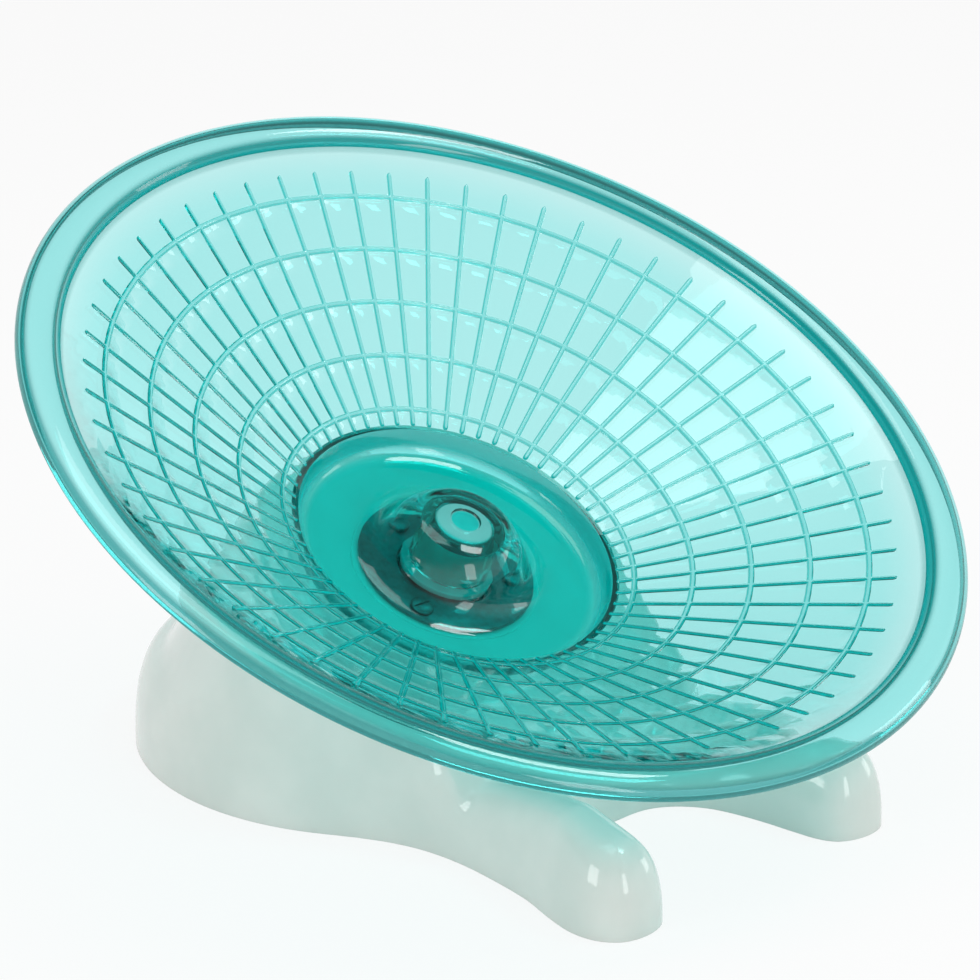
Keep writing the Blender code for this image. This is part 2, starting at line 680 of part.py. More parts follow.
def skin_height(points, distance):
    """Height of the base's skin over the floor at each point."""
    neck = smooth_min(platform_height(points), neck_height(points, distance), EDGE_BLEND)
    slab = slab_height(points, distance)
    settle = np.clip(distance / FLANK_START, 0.0, 1.0)
    return slab + (smooth_max(slab, neck, SHOULDER_BLEND) - slab) * settle


def platform_edge(loop):
    """Points along the edge where the neck's flank meets the tilted platform."""
    points = []
    for angle in np.linspace(EDGE_START, math.pi - EDGE_START, PLATFORM_EDGE_STEPS):
        reach = np.linspace(0.0, LOBE_RADIUS, REACH_STEPS)
        ray = np.stack((reach * math.cos(angle), NECK_CENTRE_Y + reach * math.sin(angle)), axis=1)
        over = neck_height(ray, edge_distance(ray, loop)) - platform_height(ray)
        points.append(ray[np.argmax(over < 0.0)])
    return np.array(points)


def skin_points(loop, edge, insets, spacing):
    """Points inside a loop: rings along it, the platform's edge, and a triangular grid over the rest."""
    kept = [edge[edge_distance(edge, loop) > insets[-1]]]
    for inset in insets:
        ring = inset_loop(loop, inset)
        kept.append(ring[edge_distance(ring, loop) > inset * RING_KEPT_SHARE])
    low, high = loop.min(0), loop.max(0)
    row_pitch = spacing * math.sqrt(3) / 2
    rows = [low[1] + row * row_pitch for row in range(int((high[1] - low[1]) / row_pitch) + 1)]
    across = np.arange(math.floor(low[0] / spacing), math.ceil(high[0] / spacing) + 1) * spacing
    grid = []
    for row, y in enumerate(rows):
        shifted = across + (row % 2) * spacing / 2
        grid.append(np.stack((shifted, np.full(len(across), y)), axis=1))
    grid = np.vstack(grid)
    clearance = spacing * GRID_CLEAR_SHARE
    grid = grid[edge_distance(grid, loop) > insets[-1] + clearance]
    clear = np.linalg.norm(grid[:, None] - edge[None], axis=2).min(1) > clearance
    kept.append(grid[clear])
    return np.vstack(kept)


def add_skin(bm, loop, inner_points, height):
    """Add a skin over a loop with the given inner points; returns the loop's own vertices in order."""
    points = np.vstack((loop, inner_points))
    count = len(loop)
    border = [(index, (index + 1) % count) for index in range(count)]
    found = delaunay_2d_cdt([Vector(point) for point in points], border, [], 0, CLOSEST, True)
    places, faces, origins = found[0], np.array(found[2]), found[3]
    flat = np.array([tuple(place) for place in places])
    inside = edge_distance(flat[faces].mean(1), loop) > 0.0
    verts = [bm.verts.new((x, y, z)) for (x, y), z in zip(flat, height(flat))]
    for face in faces[inside]:
        bm.faces.new([verts[index] for index in face])
    border_verts = {source: verts[index] for index, origin in enumerate(origins) for source in origin}
    return [border_verts[index] for index in range(count)]


def base_skins():
    """The base's outer and inner skins, joined by a flat rim on the floor."""
    bm = bmesh.new()
    loop = base_outline()
    edge = platform_edge(loop)
    insets = [share * ROUNDING_WIDTH for share in INSET_SHARES]

    def outer_height(points):
        distance = edge_distance(points, loop)
        return np.where(distance > CLOSEST, skin_height(points, distance), 0.0)

    def inner_height(points):
        distance = edge_distance(points, loop) - SHELL_WALL
        level = skin_height(points, distance) - SHELL_WALL
        return np.where(distance > CLOSEST, np.maximum(level, FIT_GAP), 0.0)

    outer = add_skin(bm, loop, skin_points(loop, edge, insets, SKIN_SPACING), outer_height)
    inner_loop = inset_loop(loop, SHELL_WALL)
    neck_centre = np.array((0.0, NECK_CENTRE_Y))
    inner_edge = neck_centre + (edge - neck_centre) * (1 - SHELL_WALL / NECK_RADIUS)
    inner_insets = [share * ROUNDING_WIDTH for share in INNER_INSET_SHARES]
    inner_points = skin_points(inner_loop, inner_edge, inner_insets, INNER_SKIN_SPACING)
    inner = add_skin(bm, inner_loop, inner_points, inner_height)
    join_rows(bm, outer, inner)
    return bm


def base_shell(tilted):
    """The moulded base: a hollow lobe, two legs and a tilted platform, with the bearing's housing inside."""
    shell = finish("base_shell", base_skins(), pale_plastic())
    bore = BEARING_RADIUS + FIT_GAP
    outer = bore + HOUSING_WALL
    head_bottom = HOUSING_TOP - HOUSING_HEAD_THICKNESS
    housing_profile = (
        (0.0, HOUSING_TOP), (HOUSING_HEAD_RADIUS, HOUSING_TOP), (HOUSING_HEAD_RADIUS, head_bottom),
        (outer, head_bottom), (outer, SEAT - HOUSING_LIP), (0.0, SEAT - HOUSING_LIP),
    )
    screw_tip = RETAINER_TOP + FIT_GAP - SCREW_LENGTH
    boss_bottom = screw_tip - FIT_GAP - HOUSING_LIP
    boss_top = HOUSING_TOP - HOUSING_HEAD_THICKNESS / 2
    bosses = round_bars(bmesh.new(), SCREW_BOSS_RADIUS, boss_bottom, boss_top, SMALL_STEPS // 2)
    hole = WASHER_RADIUS + WASHER_CLEARANCE
    bore_profile = (
        (0.0, HOUSING_TOP + OVERRUN), (bore, HOUSING_TOP + OVERRUN), (bore, SEAT), (hole, SEAT),
        (hole, SEAT - HOUSING_LIP - OVERRUN), (0.0, SEAT - HOUSING_LIP - OVERRUN),
    )
    cuts = turned(bore_profile, TURNED_STEPS)
    round_bars(cuts, SCREW_RADIUS + FIT_GAP, screw_tip - FIT_GAP, HOUSING_TOP + OVERRUN, SMALL_STEPS // 2)
    housing = cutter("bearing_housing", turned(housing_profile, TURNED_STEPS), tilted)
    add_boolean(shell, housing, "UNION")
    add_boolean(shell, cutter("screw_bosses", bosses, tilted), "UNION")
    add_boolean(shell, cutter("bore_and_screw_holes", cuts, tilted), "DIFFERENCE")
    return shell


def spin_axis():
    """The empty that tilts the turned pieces onto the spin axis."""
    made = bpy.data.objects.new("spin_axis", None)
    made.location = AXIS_POINT
    made.rotation_euler = (TILT, 0.0, 0.0)
    bpy.context.scene.collection.objects.link(made)
    return made


def build():
    """Build every piece of the running saucer."""
    clear_scene()
    material("cutter", (1.0, 0.5, 0.0), 0.5)
    tilted = spin_axis()
    base_shell(tilted)
    bearing_outer_ring(tilted)
    bearing_inner_ring(tilted)
    bearing_balls(tilted)
    bearing_cage(tilted)
    bearing_shield("bearing_shield_upper", 1, tilted)
    bearing_shield("bearing_shield_lower", -1, tilted)
    retainer_plate(tilted)
    retainer_screws(tilted)
    axle_pin(tilted)
    washer("spacer_washer", SPACER_RADIUS, SPACER_BOTTOM, SPACER_THICKNESS, tilted)
    washer("lower_washer", WASHER_RADIUS, WASHER_BOTTOM, WASHER_THICKNESS, tilted)
    retaining_clip(tilted)
    spindle_boss(tilted)
    saucer_dish(tilted)


build()
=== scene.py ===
"""Dresses the running saucer: a clear teal ribbed dish on a ball bearing, over a milky two-legged base.

Lengths are metres. Turned pieces are worked out about the spin axis, as a distance out from it and a height
along it from the middle ring rib, and are then tilted into place. The base is a height over the floor at each
point of its outline.
"""

import logging
import math
from dataclasses import dataclass
from enum import Enum
from functools import cached_property
from typing import Any, Callable, Iterable

import bmesh
import bpy
import numpy as np
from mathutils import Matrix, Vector
from mathutils.geometry import delaunay_2d_cdt


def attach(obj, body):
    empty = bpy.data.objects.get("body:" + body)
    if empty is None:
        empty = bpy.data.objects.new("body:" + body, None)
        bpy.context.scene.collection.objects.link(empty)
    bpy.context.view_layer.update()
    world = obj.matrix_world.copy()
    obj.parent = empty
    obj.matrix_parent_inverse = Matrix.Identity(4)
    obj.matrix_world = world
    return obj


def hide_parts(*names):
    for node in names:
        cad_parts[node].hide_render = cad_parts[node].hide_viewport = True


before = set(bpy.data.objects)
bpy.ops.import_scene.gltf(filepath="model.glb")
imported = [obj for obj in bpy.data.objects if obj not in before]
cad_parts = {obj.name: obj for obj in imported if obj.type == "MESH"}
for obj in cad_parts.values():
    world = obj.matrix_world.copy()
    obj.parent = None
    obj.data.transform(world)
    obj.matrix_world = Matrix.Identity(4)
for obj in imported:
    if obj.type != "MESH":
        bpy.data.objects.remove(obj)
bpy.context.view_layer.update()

Colour = tuple[float, float, float]
Place = tuple[float, float, float]
Range = tuple[float, float]
Corners = Iterable[tuple[float, float]]

LOG = logging.getLogger("running_saucer")
PRINCIPLED = "ShaderNodeBsdfPrincipled"
WHITE: Colour = (1.0, 1.0, 1.0)
SHARP_EDGE = math.radians(40.0)
MERGE_REACH = 1e-7
COLLAPSE_REACH = 1e-8
EDGE_REACH = 1e-6
BAR_COLUMNS = 40


# Shader nodes


@dataclass(frozen=True)
class Noise:
    """A smooth pattern between 0 and 1.

    Attributes:
        scale: How many of its waves go into a metre.
        detail: How many finer layers it has.
        rough: How strong each finer layer is.
    """

    scale: float
    detail: float
    rough: float


class Value:
    """A number that changes over a surface, for use in sums and comparisons."""

    def __init__(self, recipe: "Recipe", socket: bpy.types.NodeSocket) -> None:
        """Wrap a node's output socket."""
        self.recipe = recipe
        self.socket = socket

    def _math(self, operation: str, *inputs: Any) -> "Value":
        """Add a Math node over the given numbers or values."""
        return self.recipe.value("ShaderNodeMath", {"operation": operation}, dict(enumerate(inputs)))

    def __add__(self, other: Any) -> "Value":
        """The sum."""
        return self._math("ADD", self, other)

    __radd__ = __add__

    def __sub__(self, other: Any) -> "Value":
        """The difference."""
        return self._math("SUBTRACT", self, other)

    def __rsub__(self, other: Any) -> "Value":
        """The difference from a number."""
        return self._math("SUBTRACT", other, self)

    def __mul__(self, other: Any) -> "Value":
        """The product."""
        return self._math("MULTIPLY", self, other)

    __rmul__ = __mul__

    def __truediv__(self, other: Any) -> "Value":
        """The quotient."""
        return self._math("DIVIDE", self, other)

    def __rtruediv__(self, other: Any) -> "Value":
        """The quotient of a number by it."""
        return self._math("DIVIDE", other, self)

    def larger(self, other: Any) -> "Value":
        """The larger of the two."""
        return self._math("MAXIMUM", self, other)

    def root(self) -> "Value":
        """The square root."""
        return self._math("SQRT", self)

    def between(self, low: float, high: float) -> "Value":
        """0 below low, 1 above high, and smooth in between."""
        settings = {"interpolation_type": "SMOOTHSTEP"}
        return self.recipe.value("ShaderNodeMapRange", settings, {0: self, 1: low, 2: high, 3: 0.0, 4: 1.0})

    def below(self, low: float, high: float) -> "Value":
        """1 below low, 0 above high, and smooth in between."""
        return 1.0 - self.between(low, high)


class Recipe:
    """The nodes of one material or of the world."""

    def __init__(self, owner: bpy.types.Material | bpy.types.World) -> None:
        """Start with an empty tree.

        Args:
            owner: The material or the world.
        """
        owner.use_nodes = True
        self.owner = owner
        self.tree = owner.node_tree
        self.tree.nodes.clear()

    def node(self, kind: str, settings: dict[str, Any] | None = None,
             inputs: dict[str | int, Any] | None = None) -> bpy.types.Node:
        """Add a node.

        Args:
            kind: The node's type.
            settings: The node's own settings, which are set before its sockets.
            inputs: A number, colour, value or output socket for each input socket.

        Returns:
            The node.
        """
        made = self.tree.nodes.new(kind)
        for name, setting in (settings or {}).items():
            setattr(made, name, setting)
        for name, given in (inputs or {}).items():
            if isinstance(given, Value):
                given = given.socket
            if isinstance(given, bpy.types.NodeSocket):
                self.tree.links.new(given, made.inputs[name])
            else:
                made.inputs[name].default_value = given
        return made

    def value(self, kind: str, settings: dict[str, Any] | None = None,
              inputs: dict[str | int, Any] | None = None, output: str | int = 0) -> Value:
        """Add a node and wrap one of its outputs as a value."""
        return Value(self, self.node(kind, settings, inputs).outputs[output])

    def place(self) -> bpy.types.NodeSocket:
        """The point of the surface, in the object's own frame."""
        return self.node("ShaderNodeTexCoord").outputs["Object"]

    def axis_place(self, axis: "SpinAxis") -> tuple[Value, Value, Value, Value]:
        """The point of the surface, upright about the spin axis.

        Args:
            axis: The spin axis.

        Returns:
            How far it lies to the right of the axis and behind it, the root of the sum of both squares, which
            is its distance from the axis, and its height along the axis.
        """
        inputs = {"Vector": self.place(), "Location": axis.point, "Rotation": (axis.tilt, 0.0, 0.0)}
        upright = self.node("ShaderNodeMapping", {"vector_type": "TEXTURE"}, inputs)
        split = self.node("ShaderNodeSeparateXYZ", None, {0: upright.outputs[0]})
        x, y, up = (Value(self, split.outputs[index]) for index in range(3))
        return x, y, (x * x + y * y).root(), up

    def along(self, axis: "SpinAxis") -> Value:
        """How much a face points along the spin axis, up or down.

        Args:
            axis: The spin axis.

        Returns:
            1 where the face is square to the axis and 0 beside it: their dot product without its sign.
        """
        facing = self.node("ShaderNodeTexCoord").outputs["Normal"]
        way = self.join(0.0, -math.sin(axis.tilt), math.cos(axis.tilt))
        inputs = {0: facing, 1: way}
        product = self.value("ShaderNodeVectorMath", {"operation": "DOT_PRODUCT"}, inputs, "Value")
        return product.larger(product * -1.0)

    def join(self, x: Any, y: Any, z: Any) -> bpy.types.NodeSocket:
        """A vector from three numbers or values."""
        return self.node("ShaderNodeCombineXYZ", None, {0: x, 1: y, 2: z}).outputs[0]

    def noise(self, place: bpy.types.NodeSocket, pattern: Noise) -> Value:
        """A smooth pattern, read at a place."""
        inputs = {"Scale": pattern.scale, "Detail": pattern.detail, "Roughness": pattern.rough}
        return self.value("ShaderNodeTexNoise", None, {"Vector": place, **inputs}, "Fac")

    def mix(self, share: Any, first: Any, second: Any) -> bpy.types.NodeSocket:
        """A colour between two others, with the second one's share."""
        inputs = {0: share, 6: full(first), 7: full(second)}
        return self.node("ShaderNodeMix", {"data_type": "RGBA"}, inputs).outputs[2]

    def bump(self, height: Value, distance: float) -> bpy.types.NodeSocket:
        """Normals that follow a small height over the surface."""
        return self.node("ShaderNodeBump", None, {"Height": height, "Distance": distance}).outputs[0]

    def shader(self, kind: str, inputs: dict[str | int, Any]) -> bpy.types.NodeSocket:
        """A shader of the given type."""
        return self.node(kind, None, inputs).outputs[0]

    def blend(self, share: Value, first: bpy.types.NodeSocket,
              second: bpy.types.NodeSocket) -> bpy.types.NodeSocket:
        """A shader between two others, with the second one's share."""
        return self.shader("ShaderNodeMixShader", {0: share, 1: first, 2: second})

    def finish(self, surface: bpy.types.NodeSocket,
               volume: bpy.types.NodeSocket | None = None) -> bpy.types.Material:
        """Show a shader on the surface, and one inside the piece where it is given.

        Args:
            surface: The surface's shader.
            volume: The shader inside.

        Returns:
            The finished material.
        """
        inputs = {"Surface": surface}
        if volume is not None:
            inputs["Volume"] = volume
        self.node("ShaderNodeOutputMaterial", None, inputs)
        return self.owner


def full(colour: Any) -> Any:
    """A colour with its alpha, or the socket that was given."""
    return (*colour, 1.0) if isinstance(colour, tuple) else colour


def span(size: float, shares: Range, start: float = 0.0) -> Range:
    """Two lengths that lie the given shares of a size past a start."""
    return start + size * shares[0], start + size * shares[1]


# Finishes


@dataclass(frozen=True)
class Coat:
    """A finish: its material, which a piece takes, and the record's material slot, which is kept with it."""

    material: bpy.types.Material
    slot: str


@dataclass(frozen=True)
class SpinAxis:
    """The tilted axis that the dish, its spindle and the bearing turn on."""

    tilt: float = math.radians(26.8)
    point: tuple[float, float, float] = (0.0, 0.0076, 0.0571)

    def place(self, points: np.ndarray) -> np.ndarray:
        """Tilt upright points about X and lift them onto the axis.

        Args:
            points: Upright points as rows of x, y and height along the axis.

        Returns:
            The points in the object's frame.
        """
        x, y, z = points.T
        tilted_y = y * math.cos(self.tilt) - z * math.sin(self.tilt)
        tilted_z = y * math.sin(self.tilt) + z * math.cos(self.tilt)
        return np.stack((x, tilted_y, tilted_z), axis=1) + self.point


@dataclass(frozen=True)
class DishZones:
    """The dish's parts as its material sees them: each is 1 inside, 0 outside and smooth in between.

    Attributes:
        dish: The dish's sizes.
        out: The point's distance from the spin axis.
        up: Its height along the axis.
        upright: How much its face points along the axis.
        steep_shares: The shares of the axis in a face's normal from which a wall is steep and flat.
        lip_shares: The same for the lip, whose crown is narrow.
        inner_shares: Where the lip's inner flank ends, in lip widths from the crease.
        outer_shares: Where its outer flank starts, in lip widths from the outermost edge.
        rim_shares: The same for the outermost edge itself.
        wall_end_share: How far out the cup's wall goes, in wall thicknesses.
        flank_shares: Where a rib's flank starts, in rib heights.
        crown_shares: Where its crown starts.
        crown_fall_share: How much less the crown counts than the flank.
        dome_shares: Where the dome's flank starts, in crown radii.
        dimple_shares: Where the dimple ends, in dimple radii.
    """

    dish: "SaucerDish"
    out: Value
    up: Value
    upright: Value
    steep_shares: Range = (0.42, 0.88)
    lip_shares: Range = (0.66, 0.97)
    inner_shares: Range = (0.3, 0.45)
    outer_shares: Range = (0.4, 0.25)
    rim_shares: Range = (0.18, 0.08)
    wall_end_share: float = 1.5
    flank_shares: Range = (0.08, 0.35)
    crown_shares: Range = (0.7, 0.95)
    crown_fall_share: float = 0.6
    dome_shares: Range = (0.9, 1.05)
    dimple_shares: Range = (0.85, 1.0)

    @cached_property
    def steep(self) -> Value:
        """Walls that stand along the axis."""
        return self.upright.below(*self.steep_shares)

    @cached_property
    def slanted_lip(self) -> Value:
        """Both flanks of the rolled lip."""
        past_crease = self.out.between(self.dish.crease - self.dish.lip_crown / 4, self.dish.crease)
        return past_crease * self.upright.below(*self.lip_shares)

    @cached_property
    def inner_lip(self) -> Value:
        """The lip's inner flank."""
        flank = span(self.dish.lip_width, self.inner_shares, self.dish.crease)
        return self.slanted_lip * self.out.below(*flank)

    @cached_property
    def outer_lip(self) -> Value:
        """The lip's outer flank."""
        return self.slanted_lip * self.near_rim(self.outer_shares)

    @cached_property
    def rim(self) -> Value:
        """The dish's outermost edge."""
        return self.near_rim(self.rim_shares)

    def near_rim(self, shares: Range) -> Value:
        """What lies between shares of the lip's width from the outermost edge and that edge."""
        return self.out.between(*span(-self.dish.lip_width, shares, self.dish.rim_radius))

    @cached_property
    def past_hub(self) -> Value:
        """Everything outside the hub cup's floor."""
        return self.out.between(self.dish.floor_edge, self.dish.cup_radius)

    @cached_property
    def hub(self) -> Value:
        """The cup's floor, the dome's flank and the dimple, without the dome's flat crown: where the painted
        teal shade goes.

        Returns:
            The zone.
        """
        flank = self.out.between(*span(self.dish.dome_crown, self.dome_shares))
        dimple = self.out.below(*span(self.dish.dimple_radius, self.dimple_shares))
        return flank.larger(dimple) * (1.0 - self.past_hub)

    @cached_property
    def cup_wall(self) -> Value:
        """The steep wall of the hub cup.

        Returns:
            The zone.
        """
        end = self.dish.cup_radius + self.dish.stack.wall * self.wall_end_share
        start = self.out.between(self.dish.dome_base, self.dish.floor_edge)
        return self.steep * start * self.out.below(self.dish.cup_radius, end)

    @cached_property
    def ribs(self) -> Value:
        """The ribs, which rise over the plain cone, and are fainter at their crown.

        Returns:
            The zone.
        """
        rise = self.up - self.dish.cone(self.out)
        flank = rise.between(*span(self.dish.rib_height, self.flank_shares))
        crown = rise.between(*span(self.dish.rib_height, self.crown_shares))
        before_end = self.out.below(self.dish.rib_end, self.dish.crease)
        return flank * (1.0 - crown * self.crown_fall_share) * self.past_hub * before_end


@dataclass(frozen=True)
class ClearTealPlastic:
    """Clear tinted polystyrene: polished, deeper in its steep edges and its hub by painted shade, with faint
    flow waves from the middle.

    Attributes:
        slot: The record's material slot.
        bend: The index of refraction.
        tint: What a length of the plastic lets through.
        density: How fast it absorbs.
        clear: The colour of the flat walls.
        steep: Painted shade on the rolled lip where it stands steeply, which light crosses slantwise: a deep
            colour for the dark band that those slanting paths give.
        hub: Painted teal shade on the hub cup and its dome: the red is taken out to stand for the teal light
            that reaches the base below through the dish.
        hub_steep_shade: Painted shade on the dome's flank and sleeve, darker, for the shadowed hollow under
            the dome.
        cast: The colour of the light that falls through one face of a wall.
        body: The colour of the light that ribs and edges scatter.
        rim: The same for the dish's outermost edge, which gathers light from the whole wall.
        rib_share: How much a rib scatters.
        lip_share: How much the lip's inner flank scatters.
        rim_share: How much the dish's outermost edge scatters.
        cup_share: How much the steep wall of the hub cup scatters.
        outer_share: How much of the lip's steep colour its outer flank has.
        roughness: The roughness of the polish.
        body_roughness: The roughness over the light that is scattered.
        haze: The pattern of fine wear.
        haze_shares: The part of that pattern that roughens the polish.
        haze_roughness: How much it does.
        flow: The pattern of the flow waves, which run out from the middle.
        flow_core: How far from the axis the waves start to fan out.
        flow_stretch: How many waves go out, against those that go round.
        flow_depth: The height of the flow waves.
        casting_rays: What sees the plastic as a plain tint.
    """

    slot: str = "teal_plastic"
    bend: float = 1.5
    tint: Colour = (0.02, 0.90, 0.893)
    density: float = 450.0
    clear: Colour = (0.93, 1.0, 0.995)
    # Painted shade: a deep colour for the dark band that the lip's steep flanks show.
    steep: Colour = (0.001, 0.17, 0.18)
    # Painted teal shade: no red, for the teal light that lights the base under the hub.
    hub: Colour = (0.02, 0.98, 0.94)
    # Painted shade: darker still, for the shadowed hollow under the dome.
    hub_steep_shade: Colour = (0.01, 0.82, 0.79)
    cast: Colour = (0.86, 0.985, 0.98)
    body: Colour = (0.0, 0.52, 0.50)
    rim: Colour = (0.04, 0.66, 0.64)
    rib_share: float = 0.72
    lip_share: float = 0.4
    rim_share: float = 0.25
    cup_share: float = 0.7
    outer_share: float = 0.7
    roughness: float = 0.012
    body_roughness: float = 0.096
    haze: Noise = Noise(90.0, 4.0, 0.6)
    haze_shares: Range = (0.35, 0.8)
    haze_roughness: float = 0.02
    flow: Noise = Noise(5.0, 3.0, 0.55)
    flow_core: float = 0.004
    flow_stretch: float = 12.0
    flow_depth: float = 0.00002
    casting_rays: tuple[str, ...] = ("Is Shadow Ray", "Is Diffuse Ray")

    def wall_colour(self, recipe: Recipe, zones: DishZones, haze: Value) -> bpy.types.NodeSocket:
        """The tint of the walls, made deeper by painted shade in the hub and in the steep flanks of the lip.

        Args:
            recipe: The material's nodes.
            zones: The dish's parts.
            haze: The pattern of fine wear.

        Returns:
            The colour.
        """
        clear = recipe.mix(haze, self.clear, WHITE)
        # Painted teal shade in the hub, darker on its steep walls.
        middle = recipe.mix(zones.steep, self.hub, self.hub_steep_shade)
        walls = recipe.mix(zones.hub, clear, middle)
        # Painted shade on the lip's steep flanks, less on the outer one.
        return recipe.mix(zones.inner_lip + zones.outer_lip * self.outer_share, walls, self.steep)

    def scattered(self, zones: DishZones) -> Value:
        """The share of the light that ribs, edges and the cup's wall scatter."""
        edges = (zones.inner_lip * self.lip_share).larger(zones.rim * self.rim_share)
        return zones.ribs * self.rib_share + edges + zones.cup_wall * self.cup_share

    def coat(self, axis: SpinAxis, dish: "SaucerDish") -> Coat:
        """Make the material: clear plastic with some scattering in its ribs and edges.

        Args:
            axis: The spin axis, which the flow waves go round.
            dish: The dish's sizes, which tell its ribs, lip and hub apart.

        Returns:
            The material and its slot.
        """
        recipe = Recipe(bpy.data.materials.new("clear_teal_plastic"))
        x, y, out, up = recipe.axis_place(axis)
        around = recipe.join(x / (out + self.flow_core), y / (out + self.flow_core), out * self.flow_stretch)
        haze = recipe.noise(recipe.place(), self.haze)
        zones = DishZones(dish, out, up, recipe.along(axis))
        glass = recipe.shader(PRINCIPLED, {
            "Base Color": self.wall_colour(recipe, zones, haze),
            "Roughness": haze.between(*self.haze_shares) * self.haze_roughness + self.roughness,
            "IOR": self.bend,
            "Transmission Weight": 1.0,
            "Normal": recipe.bump(recipe.noise(around, self.flow), self.flow_depth),
        })
        body = recipe.shader(PRINCIPLED, {
            "Base Color": recipe.mix(zones.rim, self.body, self.rim),
            "Roughness": self.body_roughness,
            "IOR": self.bend,
        })
        cast = recipe.shader("ShaderNodeBsdfTransparent", {"Color": full(self.cast)})
        absorbed = {"Color": full(self.tint), "Density": self.density}
        inside = recipe.shader("ShaderNodeVolumeAbsorption", absorbed)
        surface = recipe.blend(self.scattered(zones), glass, body)
        for ray in self.casting_rays:
            surface = recipe.blend(recipe.value("ShaderNodeLightPath", output=ray), surface, cast)
        return Coat(recipe.finish(surface, inside), self.slot)


@dataclass(frozen=True)
class MilkyPlastic:
    """Milky, faintly green moulded plastic: soft clouds in its colour, slow waves and a fine grain."""

    name: str = "milky_plastic"
    slot: str = "pale_plastic"
    colour: Colour = (0.73, 0.74, 0.70)
    deeper: Colour = (0.66, 0.69, 0.65)
    roughness: float = 0.05
    clouds: Noise = Noise(55.0, 3.0, 0.5)
    cloud_shares: Range = (0.3, 0.7)
    waves: Noise = Noise(38.0, 1.0, 0.4)
    wave_depth: float = 0.00004
    grain: Noise = Noise(1400.0, 2.0, 0.5)
    grain_roughness: float = 0.03
    grain_share: float = 0.02
    bend: float = 1.5
    seen_through: float = 0.12
    reach: float = 0.004
    reach_shares: Colour = (0.8, 1.0, 0.95)

    def coat(self) -> Coat:
        """Make the material.

        Returns:
            The material and its slot.
        """
        recipe = Recipe(bpy.data.materials.new(self.name))
        place = recipe.place()
        clouds = recipe.noise(place, self.clouds).between(*self.cloud_shares)
        waves, grain = recipe.noise(place, self.waves), recipe.noise(place, self.grain)
        shader = recipe.shader(PRINCIPLED, {
            "Base Color": recipe.mix(clouds, self.colour, self.deeper),
            "Roughness": grain * self.grain_roughness + self.roughness,
            "IOR": self.bend,
            "Subsurface Weight": self.seen_through,
            "Subsurface Radius": self.reach_shares,
            "Subsurface Scale": self.reach,
            "Normal": recipe.bump(waves + grain * self.grain_share, self.wave_depth),
        })
        return Coat(recipe.finish(shader), self.slot)


class Moulding(Enum):
    """The moulded pieces: the pale glossy base, the boss's pale satin cap, and its satin stem, whose pale
    plastic is painted dark as shade under the dome.
    """

    BASE = MilkyPlastic()
    CAP = MilkyPlastic("boss_cap_satin", "boss_plastic", (0.62, 0.68, 0.66), (0.56, 0.62, 0.60), 0.24,
                       Noise(160.0, 3.0, 0.5))
    # Painted shade: the stem is a darker, tealer copy of the cap's plastic, for the shadowed hollow under the
    # dome.
    SHADED_STEM = MilkyPlastic("boss_stem_painted_shade", "boss_plastic", (0.34, 0.42, 0.41), (0.28, 0.36, 0.35), 0.24,
                        Noise(160.0, 3.0, 0.5))


@dataclass(frozen=True)
class CagePlastic:
    """Dark moulded plastic with a fine matt grain and grey worn patches, which are smoother."""

    slot: str = "cage_plastic"
    colour: Colour = (0.035, 0.036, 0.038)
    worn: Colour = (0.085, 0.086, 0.09)
    roughness: float = 0.5
    worn_smoothness: float = 0.14
    wear: Noise = Noise(420.0, 2.0, 0.5)
    wear_shares: Range = (0.45, 0.75)
    grain: Noise = Noise(2600.0, 3.0, 0.6)
    grain_depth: float = 0.00004

    def coat(self) -> Coat:
        """Make the material.

        Returns:
            The material and its slot.
        """
        recipe = Recipe(bpy.data.materials.new("cage_plastic_grained"))
        place = recipe.place()
        wear = recipe.noise(place, self.wear).between(*self.wear_shares)
        shader = recipe.shader(PRINCIPLED, {
            "Base Color": recipe.mix(wear, self.colour, self.worn),
            "Roughness": self.roughness - wear * self.worn_smoothness,
            "Normal": recipe.bump(recipe.noise(place, self.grain), self.grain_depth),
        })
        return Coat(recipe.finish(shader), self.slot)


@dataclass(frozen=True)
class TurnedSteel:
    """Steel with the fine rings that grinding or pressing left round the spin axis, and darker spots."""

    name: str
    slot: str
    colour: Colour
    darker: Colour
    roughness: float
    ring_depth: float
    spots: Noise
    spot_shares: Range = (0.35, 0.75)
    spot_roughness: float = 0.12
    spot_height_share: float = 0.4
    rings: Noise = Noise(5200.0, 2.0, 0.6)
    ring_slant_share: float = 0.3
    ring_roughness: float = 0.08

    def coat(self, axis: SpinAxis) -> Coat:
        """Make the material.

        Args:
            axis: The spin axis, which the rings go round.

        Returns:
            The material and its slot.
        """
        recipe = Recipe(bpy.data.materials.new(self.name))
        _, _, out, up = recipe.axis_place(axis)
        rings = recipe.noise(recipe.join(out, out * self.ring_slant_share, up), self.rings)
        spots = recipe.noise(recipe.place(), self.spots)
        shader = recipe.shader(PRINCIPLED, {
            "Base Color": recipe.mix(spots.between(*self.spot_shares), self.colour, self.darker),
            "Metallic": 1.0,
            "Roughness": spots * self.spot_roughness + rings * self.ring_roughness + self.roughness,
            "Normal": recipe.bump(rings + spots * self.spot_height_share, self.ring_depth),
        })
        return Coat(recipe.finish(shader), self.slot)


class Steel(Enum):
    """How a steel piece was made: the bearing's ground rings and balls, or the black zinc-plated hardware,
    whose dark grey is also painted shade for the hollow under the dome.
    """

    GROUND = TurnedSteel("ground_steel", "bearing_steel", (0.66, 0.66, 0.67), (0.47, 0.47, 0.49), 0.13,
                         0.000004, Noise(260.0, 4.0, 0.6))
    # Partly painted shade: the plated hardware is kept dark so that the hollow under the dome reads shaded.
    PLATED_AND_SHADED = TurnedSteel("plated_steel", "plated_steel", (0.25, 0.255, 0.26), (0.17, 0.175, 0.185), 0.28,
                         0.000008, Noise(700.0, 4.0, 0.6))


# Surfaces as arrays


